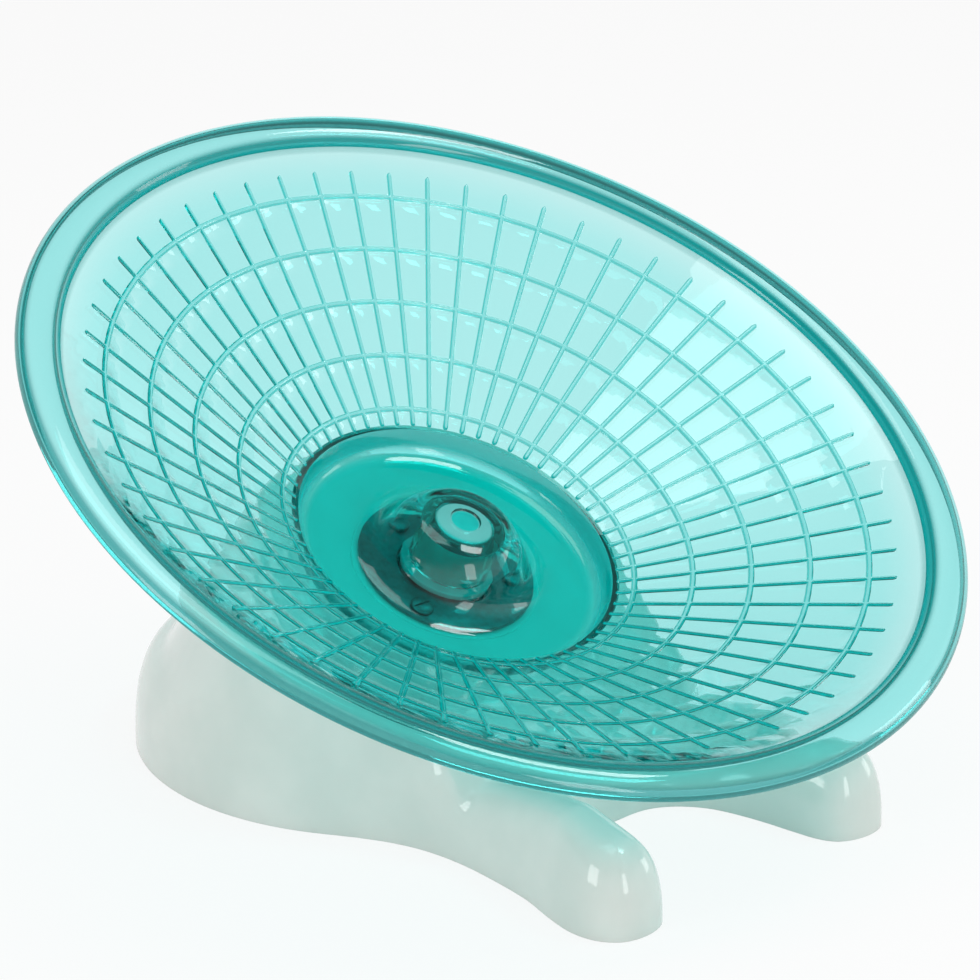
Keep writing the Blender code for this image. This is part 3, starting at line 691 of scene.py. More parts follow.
@dataclass
class Surface:
    """Points and faces of a closed surface, worked out as arrays.

    Attributes:
        points: One row of x, y and z for each point.
        faces: Arrays with one row of point numbers for each face.
    """

    points: np.ndarray
    faces: list[np.ndarray]

    def mesh(self, name: str, sharp: float) -> bpy.types.Mesh:
        """Make a mesh with merged poles, outward faces and smooth shading.

        Args:
            name: The mesh's name.
            sharp: The angle from which an edge stays sharp.

        Returns:
            The mesh.
        """
        made = bpy.data.meshes.new(name)
        made.from_pydata(self.points.tolist(), [], [face for part in self.faces for face in part.tolist()])
        work = bmesh.new()
        work.from_mesh(made)
        bmesh.ops.remove_doubles(work, verts=work.verts[:], dist=MERGE_REACH)
        bmesh.ops.dissolve_degenerate(work, edges=work.edges[:], dist=COLLAPSE_REACH)
        bmesh.ops.recalc_face_normals(work, faces=work.faces[:])
        work.to_mesh(made)
        work.free()
        made.shade_smooth()
        made.set_sharp_from_angle(angle=sharp)
        return made


def grid_faces(rows: int, columns: int, closed_rows: bool = False, first: int = 0) -> np.ndarray:
    """Squares of a grid whose columns go all the way round.

    Args:
        rows: How many rows the grid has.
        columns: How many points each row has.
        closed_rows: Whether the last row is joined to the first.
        first: The number of the grid's first point.

    Returns:
        One row of four point numbers for each square.
    """
    row = np.arange(rows if closed_rows else rows - 1)[:, None]
    column = np.arange(columns)[None]
    above = (row + 1) % rows
    beside = (column + 1) % columns
    corners = (row * columns + column, row * columns + beside,
               above * columns + beside, above * columns + column)
    return first + np.stack(corners, axis=-1).reshape(-1, 4)


def seam_faces(coarse: int, count: int, fine: int, ratio: int) -> list[np.ndarray]:
    """Faces between a ring of points and one that has a whole number of points for each of its points.

    Args:
        coarse: The number of the coarse ring's first point.
        count: How many points the coarse ring has.
        fine: The number of the fine ring's first point.
        ratio: How many fine points there are for each coarse one.

    Returns:
        The triangles and the squares.
    """
    index = np.arange(count)
    fan = [np.stack((coarse + index, fine + index * ratio + step, fine + index * ratio + step + 1), axis=1)
           for step in range(ratio - 1)]
    last = np.stack((coarse + index, fine + index * ratio + ratio - 1,
                     fine + (index + 1) * ratio % (count * ratio), coarse + (index + 1) % count), axis=1)
    return [*fan, last]


def turned_points(profile: np.ndarray, count: int) -> np.ndarray:
    """Points of a profile turned about the axis: (r cos a, r sin a, h) for each point and angle.

    Args:
        profile: Rows of distance from the axis and height along it.
        count: How many points go round.

    Returns:
        The upright points, one ring after another.
    """
    angle = np.arange(count) * math.tau / count
    out, height = profile[:, :1], profile[:, 1:]
    around = (out * np.cos(angle), out * np.sin(angle), np.broadcast_to(height, (len(profile), count)))
    return np.stack(around, axis=-1).reshape(-1, 3)


def turned(profile: np.ndarray, count: int, axis: SpinAxis) -> Surface:
    """A profile turned about the spin axis, closed on itself or at the axis."""
    around = grid_faces(len(profile), count, closed_rows=profile[0, 0] > 0.0)
    return Surface(axis.place(turned_points(profile, count)), [around])


def turned_copies(profile: np.ndarray, count: int, places: list[Place], axis: SpinAxis) -> Surface:
    """Copies of a profile, each turned about its own upright line.

    Args:
        profile: Rows of distance from the line and height along it.
        count: How many points go round.
        places: The copies' upright places.
        axis: The spin axis.

    Returns:
        The closed surfaces as one.
    """
    upright = turned_points(profile, count)
    faces = grid_faces(len(profile), count)
    points = np.vstack([upright + place for place in places])
    return Surface(axis.place(points), [faces + number * len(upright) for number in range(len(places))])


def round_places(circle: float, count: int, start: float, level: float) -> list[Place]:
    """Upright places spaced evenly on a circle about the axis, at a level along it."""
    angles = [start + math.tau * index / count for index in range(count)]
    return [(circle * math.cos(angle), circle * math.sin(angle), level) for angle in angles]


def eased(points: Corners, radius: float, steps: int = 3, closed: bool = True,
          most_share: float = 0.45) -> np.ndarray:
    """A profile with each corner rounded by a short parabola.

    It is the mean of the corner and of the two points where it is cut, weighted by share.

    Args:
        points: Rows of distance from the axis and height along it.
        radius: How far each corner is cut back, where its sides are long enough.
        steps: How many steps each rounding has.
        closed: Whether the last point is joined to the first.
        most_share: How much of a side one rounding may take.

    Returns:
        The rounded profile, with steps + 1 points for each corner.
    """
    corner = np.asarray(list(points), float)
    before, after = np.roll(corner, 1, axis=0), np.roll(corner, -1, axis=0)
    reach_before = np.linalg.norm(before - corner, axis=1, keepdims=True)
    reach_after = np.linalg.norm(after - corner, axis=1, keepdims=True)
    start = corner + (before - corner) * np.minimum(radius / reach_before, most_share)
    end = corner + (after - corner) * np.minimum(radius / reach_after, most_share)
    if not closed:
        start[0] = end[0] = corner[0]
        start[-1] = end[-1] = corner[-1]
    share = np.linspace(0.0, 1.0, steps + 1)[None, :, None]
    rest = 1 - share
    curve = start[:, None] * rest ** 2 + 2 * corner[:, None] * share * rest + end[:, None] * share ** 2
    return curve.reshape(-1, 2)


def smooth_curve(points: Corners, steps: int) -> np.ndarray:
    """A Catmull-Rom curve: in each span a cube of the share, whose slopes follow the points beside it.

    Args:
        points: The points to go through.
        steps: How many steps each span has.

    Returns:
        The curve's points.
    """
    line = np.asarray(list(points), float)
    padded = np.vstack((2 * line[0] - line[1], line, 2 * line[-1] - line[-2]))
    share = (np.arange(steps) / steps)[None, :, None]
    before, start, end, after = (padded[index:index + len(line) - 1, None] for index in range(4))
    linear = (end - before) * share
    square = (2 * before - 5 * start + 4 * end - after) * share ** 2
    cube = (3 * start - before - 3 * end + after) * share ** 3
    spans = start + (linear + square + cube) / 2
    return np.vstack((spans.reshape(-1, 2), line[-1:]))


# Pieces


@dataclass(frozen=True)
class Workshop:
    """Puts finished surfaces into the scene."""

    axis: SpinAxis

    def piece(self, name: str, mesh: bpy.types.Mesh, coat: Coat, body: str, *nodes: str) -> None:
        """Add a piece that rides on a body and stands for CAD nodes.

        Args:
            name: The piece's name.
            mesh: Its mesh, in place.
            coat: Its finish.
            body: The body that it rides on.
            nodes: The CAD nodes that it stands for.
        """
        made = bpy.data.objects.new(name, mesh)
        mesh.materials.clear()
        mesh.materials.append(coat.material)
        bpy.context.scene.collection.objects.link(made)
        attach(made, body)
        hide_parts(*nodes)
        LOG.info("%s: %d points on %s", name, len(mesh.vertices), body)

    def lathe(self, name: str, corners: Corners, rounding: float, columns: int, steps: int = 3,
              closed: bool = True, sharp: float = SHARP_EDGE) -> bpy.types.Mesh:
        """Round a profile's corners and turn it about the spin axis."""
        return turned(eased(corners, rounding, steps, closed), columns, self.axis).mesh(name, sharp)

    def bars(self, name: str, radius: float, bottom: float, top: float, places: list[Place],
             sharp: float = SHARP_EDGE) -> bpy.types.Mesh:
        """Make upright round bars of one size, as one mesh."""
        profile = np.array(((0.0, bottom), (radius, bottom), (radius, top), (0.0, top)))
        return turned_copies(profile, BAR_COLUMNS, places, self.axis).mesh(name, sharp)

    def carved(self, mesh: bpy.types.Mesh, tools: list[tuple[str, bpy.types.Mesh]],
               sharp: float = SHARP_EDGE) -> bpy.types.Mesh:
        """Join meshes to a mesh, or cut them from it.

        Args:
            mesh: The mesh to start from.
            tools: The operation, UNION or DIFFERENCE, and the mesh of each step.
            sharp: The angle from which an edge of the result stays sharp.

        Returns:
            The carved mesh.
        """
        scene = bpy.context.scene
        work = bpy.data.objects.new("work", mesh)
        scene.collection.objects.link(work)
        helpers = [bpy.data.objects.new("helper", tool) for _, tool in tools]
        for helper, (operation, _) in zip(helpers, tools):
            scene.collection.objects.link(helper)
            step = work.modifiers.new("step", "BOOLEAN")
            step.object = helper
            step.operation = operation
            step.solver = "MANIFOLD"
        seen = work.evaluated_get(bpy.context.evaluated_depsgraph_get())
        made = bpy.data.meshes.new_from_object(seen)
        for item in [work, *helpers]:
            bpy.data.objects.remove(item, do_unlink=True)
        made.shade_smooth()
        made.set_sharp_from_angle(angle=sharp)
        return made


@dataclass(frozen=True)
class HubStack:
    """Heights and widths of the turned pieces between the dish and the base, along the spin axis."""

    dish_floor: float = -0.018
    dome_height: float = 0.011
    wall: float = 0.0018
    crown_wall: float = 0.0011
    gap: float = 0.0003
    platform_clearance: float = 0.0024
    platform_step: float = 0.0005
    bearing_radius: float = 0.011
    bore_radius: float = 0.004
    bearing_width: float = 0.007
    race_wall: float = 0.002
    ball_radius: float = 0.0019
    ball_count: int = 7
    boss_radius: float = 0.006
    flange_radius: float = 0.0092
    flange_thickness: float = 0.0015
    spacer_thickness: float = 0.001
    axle_radius: float = 0.0037
    washer_thickness: float = 0.0008
    clip_thickness: float = 0.0006
    retainer_radius: float = 0.0175
    retainer_thickness: float = 0.001
    screw_circle: float = 0.0143
    screw_count: int = 3

    @property
    def dome_top(self) -> float:
        """The flat top of the dish's dome."""
        return self.dish_floor + self.dome_height

    @property
    def boss_top(self) -> float:
        """The top of the spindle boss, under the dome."""
        return self.dome_top - self.crown_wall - self.gap

    @property
    def platform(self) -> float:
        """The base's tilted platform."""
        return self.dish_floor - self.wall - self.platform_clearance

    @property
    def bearing_top(self) -> float:
        """The upper face of the bearing and of its housing."""
        return self.platform + self.platform_step

    @property
    def bearing_bottom(self) -> float:
        """The lower face of the bearing."""
        return self.bearing_top - self.bearing_width

    @property
    def bearing_middle(self) -> float:
        """The plane of the balls."""
        return (self.bearing_top + self.bearing_bottom) / 2

    @property
    def ball_circle(self) -> float:
        """The radius on which the balls run."""
        return (self.bearing_radius + self.bore_radius) / 2

    @property
    def flange_bottom(self) -> float:
        """The underside of the boss's flange."""
        return self.bearing_top + 2 * self.gap + self.spacer_thickness

    @property
    def flange_top(self) -> float:
        """The upper face of the boss's flange."""
        return self.flange_bottom + self.flange_thickness

    @property
    def seat(self) -> float:
        """The ledge that the bearing sits on."""
        return self.bearing_bottom - self.gap

    @property
    def washer_bottom(self) -> float:
        """The underside of the lower washer."""
        return self.bearing_bottom - self.gap - self.washer_thickness

    @property
    def clip_top(self) -> float:
        """The upper face of the retaining clip."""
        return self.washer_bottom - self.gap

    @property
    def clip_bottom(self) -> float:
        """The underside of the retaining clip."""
        return self.clip_top - self.clip_thickness

    @property
    def retainer_top(self) -> float:
        """The upper face of the retainer plate."""
        return self.bearing_top + self.gap + self.retainer_thickness

    def screw_places(self) -> list[Place]:
        """The upright places of the retainer's screws."""
        return round_places(self.screw_circle, self.screw_count, math.pi / 2, 0.0)

    def ball_places(self) -> list[Place]:
        """The upright places of the balls' centres."""
        return round_places(self.ball_circle, self.ball_count, 0.0, self.bearing_middle)


@dataclass(frozen=True)
class SaucerDish:
    """The clear dish: a dome over the spindle boss, a hub cup, a ribbed cone and a rolled lip."""

    workshop: Workshop
    stack: HubStack
    finish: ClearTealPlastic
    rim_radius: float = 0.095
    lip_width: float = 0.0086
    lip_crown: float = 0.0029
    lip_skirt: float = 0.0004
    ring_radius: float = 0.0563
    ring_pitch: float = 0.01018
    ring_count: int = 5
    cone_slope: float = 0.528
    rib_count: int = 60
    rib_width: float = 0.0012
    rib_height: float = 0.0005
    rib_start: float = 0.0328
    rib_end: float = 0.0815
    cup_radius: float = 0.0322
    floor_edge: float = 0.0285
    dome_base: float = 0.0214
    dome_crown: float = 0.0063
    dimple_radius: float = 0.0031
    dimple_depth: float = 0.00035
    nub_radius: float = 0.0014
    sleeve_wall: float = 0.0015
    edge_rounding: float = 0.0004
    plain_columns: int = 200
    ribbed_columns: int = 600
    corner_steps: int = 4
    dome_steps: int = 5
    wall_steps: int = 7
    under_dome_steps: int = 4
    under_cup_steps: int = 5
    floor_rows: int = 6
    under_cone_rows: int = 9
    band_rows: int = 4
    lip_steps: int = 22
    roll_steps: int = 12
    skirt_steps: int = 3
    skirt_rounding_share: float = 0.8
    sharp_angle: float = math.radians(38.0)
    cup_wall_shares: tuple = ((0.0, 0.0), (0.42, 0.12), (0.78, 0.45), (1.0, 1.0))
    under_cup_shares: tuple = ((0.9, -0.7), (0.55, 0.0), (0.6, -0.8), (-0.3, -1.0))
    dome_shares: tuple = ((1.0, 0.0), (0.82, 0.06), (0.64, 0.23), (0.52, 0.46), (0.41, 0.69), (0.245, 0.91),
                          (0.09, 0.985))
    sleeve_root_shares: Range = (0.2, 0.6)
    across_shares: tuple = (0.0, 0.3, 0.55, 0.8, 1.0)
    rise_shares: tuple = (1.0, 0.92, 0.68, 0.26, 0.0)
    tip_shares: tuple = (0.02, 0.14, 0.42, 1.0)
    tip_lift_shares: tuple = (0.0, 0.75, 0.96, 1.0)
    between_shares: Range = (1 / 3, 2 / 3)

    @property
    def crease(self) -> float:
        """Where the cone ends and the rolled lip starts."""
        return self.rim_radius - self.lip_width

    def cone(self, out: Any) -> Any:
        """Height of the plain cone: the slope times the distance out from the middle ring."""
        return self.cone_slope * (out - self.ring_radius)

    def dome(self, shares: Corners, inward: float = 0.0, down: float = 0.0) -> list[tuple[float, float]]:
        """The dome's flank, given as shares of its width and height.

        Args:
            shares: How far out and up each point lies.
            inward: How far the points are moved towards the axis.
            down: How far they are moved down.

        Returns:
            Rows of distance from the axis and height along it.
        """
        width, floor = self.dome_base - self.dome_crown, self.stack.dish_floor
        return [(self.dome_crown + out * width - inward, floor + up * self.stack.dome_height - down)
                for out, up in shares]

    def floor_profile(self) -> np.ndarray:
        """The upper surface from the axis over the dimple, the dome and the cup's wall to the ribs.

        Returns:
            Rows of distance from the axis and height along it.
        """
        top, floor = self.stack.dome_top, self.stack.dish_floor
        dimple = top - self.dimple_depth
        crown = [(0.0, dimple + self.dimple_depth / 2), (self.nub_radius, dimple),
                 (self.dimple_radius - self.dimple_depth / 2, dimple), (self.dimple_radius, top),
                 (self.dome_crown, top)]
        rise = self.cone(self.cup_radius) - floor
        reach = self.cup_radius - self.floor_edge
        wall = [(self.floor_edge + out * reach, floor + up * rise) for out, up in self.cup_wall_shares]
        level = np.linspace(self.dome_base, self.floor_edge, self.floor_rows)[1:-1]
        flat = np.stack((level, np.full(len(level), floor)), axis=1)
        middle = eased(crown, self.edge_rounding / 2, self.corner_steps, closed=False)[self.corner_steps:]
        dome = smooth_curve(self.dome(reversed(self.dome_shares)), self.dome_steps)
        return np.vstack((middle, dome, flat, smooth_curve(wall, self.wall_steps)))

    def lip_profile(self, half_width: float, crown: float, steps: int) -> np.ndarray:
        """Half an ellipse over the rolled lip, from its inner edge to its outer one.

        Args:
            half_width: Half the ellipse's width.
            crown: The ellipse's height.
            steps: How many steps it has.

        Returns:
            Rows of distance from the axis and height along it.
        """
        angle = np.linspace(math.pi, 0.0, steps + 1)
        centre = self.rim_radius - self.lip_width / 2
        base = self.cone(self.crease)
        return np.stack((centre + half_width * np.cos(angle), base + crown * np.sin(angle)), axis=1)

    def skirt(self) -> np.ndarray:
        """The lip's lower edge, round which the wall turns inwards.

        Returns:
            Rows of distance from the axis and height along it, without the two end corners.
        """
        bottom = self.cone(self.crease) - self.lip_skirt
        inner = self.rim_radius - self.stack.wall
        corners = ((self.rim_radius, bottom + self.lip_skirt), (self.rim_radius, bottom), (inner, bottom),
                   (inner, bottom + self.lip_skirt))
        rounding = self.lip_skirt * self.skirt_rounding_share
        end = self.skirt_steps + 1
        return eased(corners, rounding, self.skirt_steps, closed=False)[end:-end]

    def sleeve(self) -> np.ndarray:
        """The sleeve over the spindle boss, from under the dome down, round its end and up to its roof.

        Returns:
            Rows of distance from the axis and height along it, without the first corner.
        """
        stack = self.stack
        inner = stack.boss_radius + stack.gap
        outer = inner + self.sleeve_wall
        roof, bottom = stack.dome_top - stack.crown_wall, stack.flange_top + stack.gap
        under = stack.dome_top - stack.wall
        above, below = span(-stack.wall, self.sleeve_root_shares, under)
        corners = ((outer + stack.wall, above), (outer, below), (outer, bottom), (inner, bottom),
                   (inner, roof), (0.0, roof))
        return eased(corners, self.edge_rounding, self.corner_steps, closed=False)[self.corner_steps + 1:]

    def under_cup(self) -> np.ndarray:
        """The underside of the cup: a curve through points that lie shares of the wall out and up.

        Returns:
            Rows of distance from the axis and height along it.
        """
        floor = self.stack.dish_floor
        corners = np.array(((self.cup_radius, self.cone(self.cup_radius)), (self.cup_radius, floor),
                            (self.floor_edge, floor), (self.floor_edge, floor)))
        return smooth_curve(corners + np.array(self.under_cup_shares) * self.stack.wall, self.under_cup_steps)

    def under_profile(self) -> np.ndarray:
        """The lower surface from the lip's outer edge in to the sleeve over the spindle boss.

        Returns:
            Rows of distance from the axis and height along it.
        """
        wall = self.stack.wall
        roll = self.lip_profile(self.lip_width / 2 - wall, self.lip_crown - wall, self.roll_steps)[::-1]
        plain = np.linspace(self.crease, self.cup_radius + wall, self.under_cone_rows)
        cone = np.stack((plain, self.cone(plain) - wall), axis=1)
        dome = smooth_curve(self.dome(self.dome_shares[:-2], wall / 2, wall), self.under_dome_steps)
        return np.vstack((self.skirt(), roll[1:], cone[1:], self.under_cup(), dome, self.sleeve()))

    @staticmethod
    def rows(out: Any, rise: Any, lift: Any, width: Any) -> np.ndarray:
        """Rows of distance out, rise of the ring ribs, and the radial ribs' rise and width as shares."""
        return np.stack(np.broadcast_arrays(out, rise, lift, width), axis=1)

    def ribbed_rows(self) -> np.ndarray:
        """Rows of the ribbed cone.

        A ring rib rises over five steps on each side of its middle. A radial rib's tip is a half circle seen
        from above, so its width share is the root of 1 - (1 - d) ** 2 at d half widths from the tip.

        Returns:
            The rows, from the inner tips of the radial ribs to the outer ones.
        """
        half = self.rib_width / 2
        across, rise = np.array(self.across_shares), np.array(self.rise_shares) * self.rib_height
        tip, lift = np.array(self.tip_shares), np.array(self.tip_lift_shares)
        width = np.sqrt(1.0 - (1.0 - tip) ** 2)
        offsets = np.concatenate((-across[::-1], across[1:])) * half
        heights = np.concatenate((rise[::-1], rise[1:]))
        rings = self.ring_radius + (np.arange(self.ring_count) - self.ring_count // 2) * self.ring_pitch
        gaps = np.array(self.between_shares) * (self.ring_pitch - self.rib_width)
        parts = [self.rows(self.rib_start + tip * half, 0.0, lift, width)]
        for ring in rings:
            parts.append(self.rows(ring + offsets, heights, 1.0, 1.0))
            parts.append(self.rows(ring + half + gaps, 0.0, 1.0, 1.0))
        outer_tip = self.rows(self.rib_end - tip * half, 0.0, lift, width)[::-1]
        return np.vstack((*parts[:-1], outer_tip))

    def ribbed_points(self) -> np.ndarray:
        """Points of the ribbed cone: ten columns for each radial rib, nine over it and one before the next.

        The height is the cone's plus the larger of the ring rib's and the radial rib's rise. A rib's columns
        keep their distance from its middle line, so the angle is that distance over the one from the axis.

        Returns:
            The upright points, one row after another.
        """
        rows = self.ribbed_rows()
        out, ring_rise, lift, width = (rows[:, index][:, None, None] for index in range(4))
        across, rise = np.array(self.across_shares), np.array(self.rise_shares)
        offsets = np.concatenate((-across[:0:-1], across)) * self.rib_width / 2 * width
        rises = np.concatenate((rise[:0:-1], rise)) * self.rib_height * lift
        middle = (np.arange(self.rib_count) * math.tau / self.rib_count)[:, None]
        over = middle + offsets / out
        halfway = np.broadcast_to(middle + math.pi / self.rib_count, (*over.shape[:2], 1))
        angle = np.concatenate((over, halfway), axis=2)
        lifted = np.concatenate((np.broadcast_to(rises, over.shape), np.zeros(halfway.shape)), axis=2)
        points = (out * np.cos(angle), out * np.sin(angle), self.cone(out) + np.maximum(lifted, ring_rise))
        return np.stack(points, axis=-1).reshape(-1, 3)

    def surface(self) -> Surface:
        """The whole dish as one surface, from the middle of the dome out over the lip and back underneath.

        Returns:
            The surface.
        """
        plain, ribbed = self.plain_columns, self.ribbed_columns
        ratio = ribbed // plain
        floor, under = self.floor_profile(), self.under_profile()
        lip = self.lip_profile(self.lip_width / 2, self.lip_crown, self.lip_steps)
        plain_band = np.linspace(self.rib_end, self.crease, self.band_rows)[1:-1]
        band = np.vstack((np.stack((plain_band, self.cone(plain_band)), axis=1), lip))
        parts = [turned_points(floor, plain), self.ribbed_points(), turned_points(band, ribbed),
                 turned_points(under, plain)]
        starts = np.cumsum([0] + [len(part) for part in parts])
        upper_rows = (len(parts[1]) + len(parts[2])) // ribbed
        faces = [grid_faces(len(floor), plain), grid_faces(upper_rows, ribbed, first=starts[1]),
                 grid_faces(len(under), plain, first=starts[3])]
        faces += seam_faces(starts[1] - plain, plain, starts[1], ratio)
        faces += seam_faces(starts[3], plain, starts[3] - ribbed, ratio)
        return Surface(self.workshop.axis.place(np.vstack(parts)), faces)

    def build(self) -> None:
        """Add the dish."""
        mesh = self.surface().mesh("dish_moulding", self.sharp_angle)
        coat = self.finish.coat(self.workshop.axis, self)
        self.workshop.piece("dish_moulding", mesh, coat, "saucer", "saucer_dish")


@dataclass(frozen=True)
class BaseShell:
    """The milky base: a round rear lobe, two legs with an arch between, and a neck to a tilted platform."""

    workshop: Workshop
    stack: HubStack
    coat: Coat
    wall: float = 0.0022
    lobe_radius: float = 0.0516
    lobe_centre: float = 0.0326
    lobe_start: float = math.radians(-32.2)
    leg_reach: float = 0.0755
    rounding: float = 0.0085
    rounding_power: float = 2.5
    neck_centre: float = 0.0226
    neck_radius: float = 0.0345
    neck_height: float = 0.050
    neck_slope: float = 1.3
    neck_fall: float = 0.0357
    flank_start: float = 0.001
    flank_height: float = 0.019
    flank_slope: float = 9.0
    shoulder_blend: float = 0.0028
    edge_blend: float = 0.0016
    spacing: float = 0.0013
    inner_spacing: float = 0.0026
    housing_wall: float = 0.0023
    housing_lip: float = 0.002
    head_radius: float = 0.0188
    head_thickness: float = 0.0032
    screw_boss: float = 0.0031
    screw_hole: float = 0.0016
    screw_depth: float = 0.0075
    columns: int = 120
    outline_steps: int = 12
    lobe_steps: int = 90
    rounding_rings: int = 12
    sharp_angle: float = math.radians(52.0)
    kept_ring_share: float = 0.96
    grid_start_share: float = 0.5
    height_shares: tuple = (-0.2, 0.17, 0.35, 0.74, 1.0)
    heights: tuple = (0.020, 0.0143, 0.0143, 0.0186, 0.0156)
    outline_shares: tuple = (
        (0.0, 0.497), (0.122, 0.498), (0.205, 0.514), (0.275, 0.549), (0.326, 0.594), (0.360, 0.645),
        (0.393, 0.742), (0.414, 0.855), (0.430, 0.922), (0.464, 0.968), (0.530, 0.993), (0.618, 0.998),
        (0.694, 0.980), (0.748, 0.931), (0.763, 0.856), (0.735, 0.762), (0.692, 0.657), (0.665, 0.516),
        (0.657, 0.393), (0.674, 0.285), (0.715, 0.195), (0.775, 0.112),
    )

    def outline(self, spacing: float) -> np.ndarray:
        """The outline on the floor: a curve round one leg, then the lobe's arc, and the same mirrored.

        Args:
            spacing: How far apart its points are.

        Returns:
            Its points, anticlockwise.
        """
        shares = smooth_curve(self.outline_shares, self.outline_steps)
        forward = self.workshop.axis.point[1] - shares[:, 1] * self.leg_reach
        angle = np.linspace(self.lobe_start, math.pi / 2, self.lobe_steps)
        lobe = np.stack((np.cos(angle), np.sin(angle)), axis=1) * self.lobe_radius + (0.0, self.lobe_centre)
        half = np.vstack((np.stack((shares[:, 0] * self.lobe_radius, forward), axis=1), lobe))
        loop = np.vstack((half, half[::-1][1:-1] * (-1.0, 1.0)))
        closed = np.vstack((loop, loop[:1]))
        travel = np.concatenate(((0.0,), np.cumsum(np.linalg.norm(np.diff(closed, axis=0), axis=1))))
        count = round(travel[-1] / spacing / 2) * 2
        places = np.arange(count) * travel[-1] / count
        return np.stack([np.interp(places, travel, closed[:, side]) for side in (0, 1)], axis=1)

    @staticmethod
    def inset(loop: np.ndarray, distance: float) -> np.ndarray:
        """Move a loop inward along its corner normals.

        Args:
            loop: The loop, anticlockwise.
            distance: How far it moves.

        Returns:
            The moved loop.
        """
        along = np.roll(loop, -1, axis=0) - np.roll(loop, 1, axis=0)
        along /= np.linalg.norm(along, axis=1)[:, None]
        return loop + np.stack((-along[:, 1], along[:, 0]), axis=1) * distance

    @staticmethod
    def edge_distance(points: np.ndarray, loop: np.ndarray) -> np.ndarray:
        """Each point's distance to a closed loop, below zero outside it.

        The distance is the least over the loop's segments, and the side comes from the winding number.

        Args:
            points: The points.
            loop: The loop.

        Returns:
            The distances.
        """
        starts = loop[None]
        spans = np.roll(loop, -1, axis=0)[None] - starts
        offsets = points[:, None] - starts
        share = np.clip((offsets * spans).sum(2) / (spans ** 2).sum(2), 0.0, 1.0)
        distance = np.linalg.norm(offsets - spans * share[..., None], axis=2).min(1)
        above = offsets[..., 1] >= 0.0
        above_next = offsets[..., 1] >= spans[..., 1]
        side = spans[..., 0] * offsets[..., 1] - spans[..., 1] * offsets[..., 0]
        winding = (above & ~above_next & (side < 0)).sum(1) - (~above & above_next & (side > 0)).sum(1)
        return np.where(winding != 0, distance, -distance)

    @staticmethod
    def larger(first: np.ndarray, second: np.ndarray, blend: float) -> np.ndarray:
        """The larger of two, blended: half the sum plus the root of squared difference and blend."""
        return (first + second + np.sqrt((first - second) ** 2 + blend ** 2)) / 2

    def slab(self, points: np.ndarray, distance: np.ndarray) -> np.ndarray:
        """Height of the lobe and legs: the top's height times a rounded skirt, the root of 1 - (1 - d) ** p.

        Args:
            points: Points on the floor.
            distance: How far they lie from the outline.

        Returns:
            The heights.
        """
        forward = (self.workshop.axis.point[1] - points[:, 1]) / self.leg_reach
        top = np.interp(forward, self.height_shares, self.heights)
        short = 1.0 - np.clip(distance / self.rounding, 0.0, 1.0)
        return top * (1.0 - short ** self.rounding_power) ** (1.0 / self.rounding_power)

    def platform(self, points: np.ndarray) -> np.ndarray:
        """Height of the tilted plane under the dish's hub.

        Args:
            points: Points on the floor.

        Returns:
            The heights.
        """
        axis = self.workshop.axis
        along = (points[:, 1] - axis.point[1]) * math.sin(axis.tilt)
        return axis.point[2] + (self.stack.platform + along) / math.cos(axis.tilt)

    def neck(self, points: np.ndarray, distance: np.ndarray) -> np.ndarray:
        """Height of the neck's flank: it falls away from its middle, and faster near the outline.

        Args:
            points: Points on the floor.
            distance: How far they lie from the outline.

        Returns:
            The heights.
        """
        out = np.hypot(points[:, 0], points[:, 1] - self.neck_centre) - self.neck_radius
        fall = np.where(out > 0.0, out ** 2 / self.neck_fall, 0.0)
        flank = self.flank_height + self.flank_slope * (distance - self.flank_start)
        return np.minimum(self.neck_height - self.neck_slope * out - fall, flank)

    def skin(self, points: np.ndarray, distance: np.ndarray) -> np.ndarray:
        """Height of the outer skin: the larger of the slab and of the neck cut by the platform, both blended.

        Args:
            points: Points on the floor.
            distance: How far they lie from the outline.

        Returns:
            The heights.
        """
        neck = -self.larger(-self.platform(points), -self.neck(points, distance), self.edge_blend)
        slab = self.slab(points, distance)
        settle = np.clip(distance / self.flank_start, 0.0, 1.0)
        return slab + (self.larger(slab, neck, self.shoulder_blend) - slab) * settle

    def plan_points(self, loop: np.ndarray, insets: np.ndarray, spacing: float) -> np.ndarray:
        """Points inside a loop: rings along it near its edge, and a triangular grid over the rest.

        Args:
            loop: The loop.
            insets: How far in each ring lies.
            spacing: The grid's spacing.

        Returns:
            The points.
        """
        kept = []
        for inset in insets:
            ring = self.inset(loop, inset)
            kept.append(ring[self.edge_distance(ring, loop) > inset * self.kept_ring_share])
        low, high = loop.min(0), loop.max(0)
        y = np.arange(low[1], high[1], spacing * math.sqrt(3) / 2)
        x = np.arange(math.floor(low[0] / spacing), math.ceil(high[0] / spacing) + 1) * spacing
        shift = (np.arange(len(y)) % 2)[:, None] * spacing / 2
        grid = np.stack(np.broadcast_arrays(x[None] + shift, y[:, None]), axis=-1).reshape(-1, 2)
        start = insets[-1] + spacing * self.grid_start_share
        kept.append(grid[self.edge_distance(grid, loop) > start])
        return np.vstack(kept)

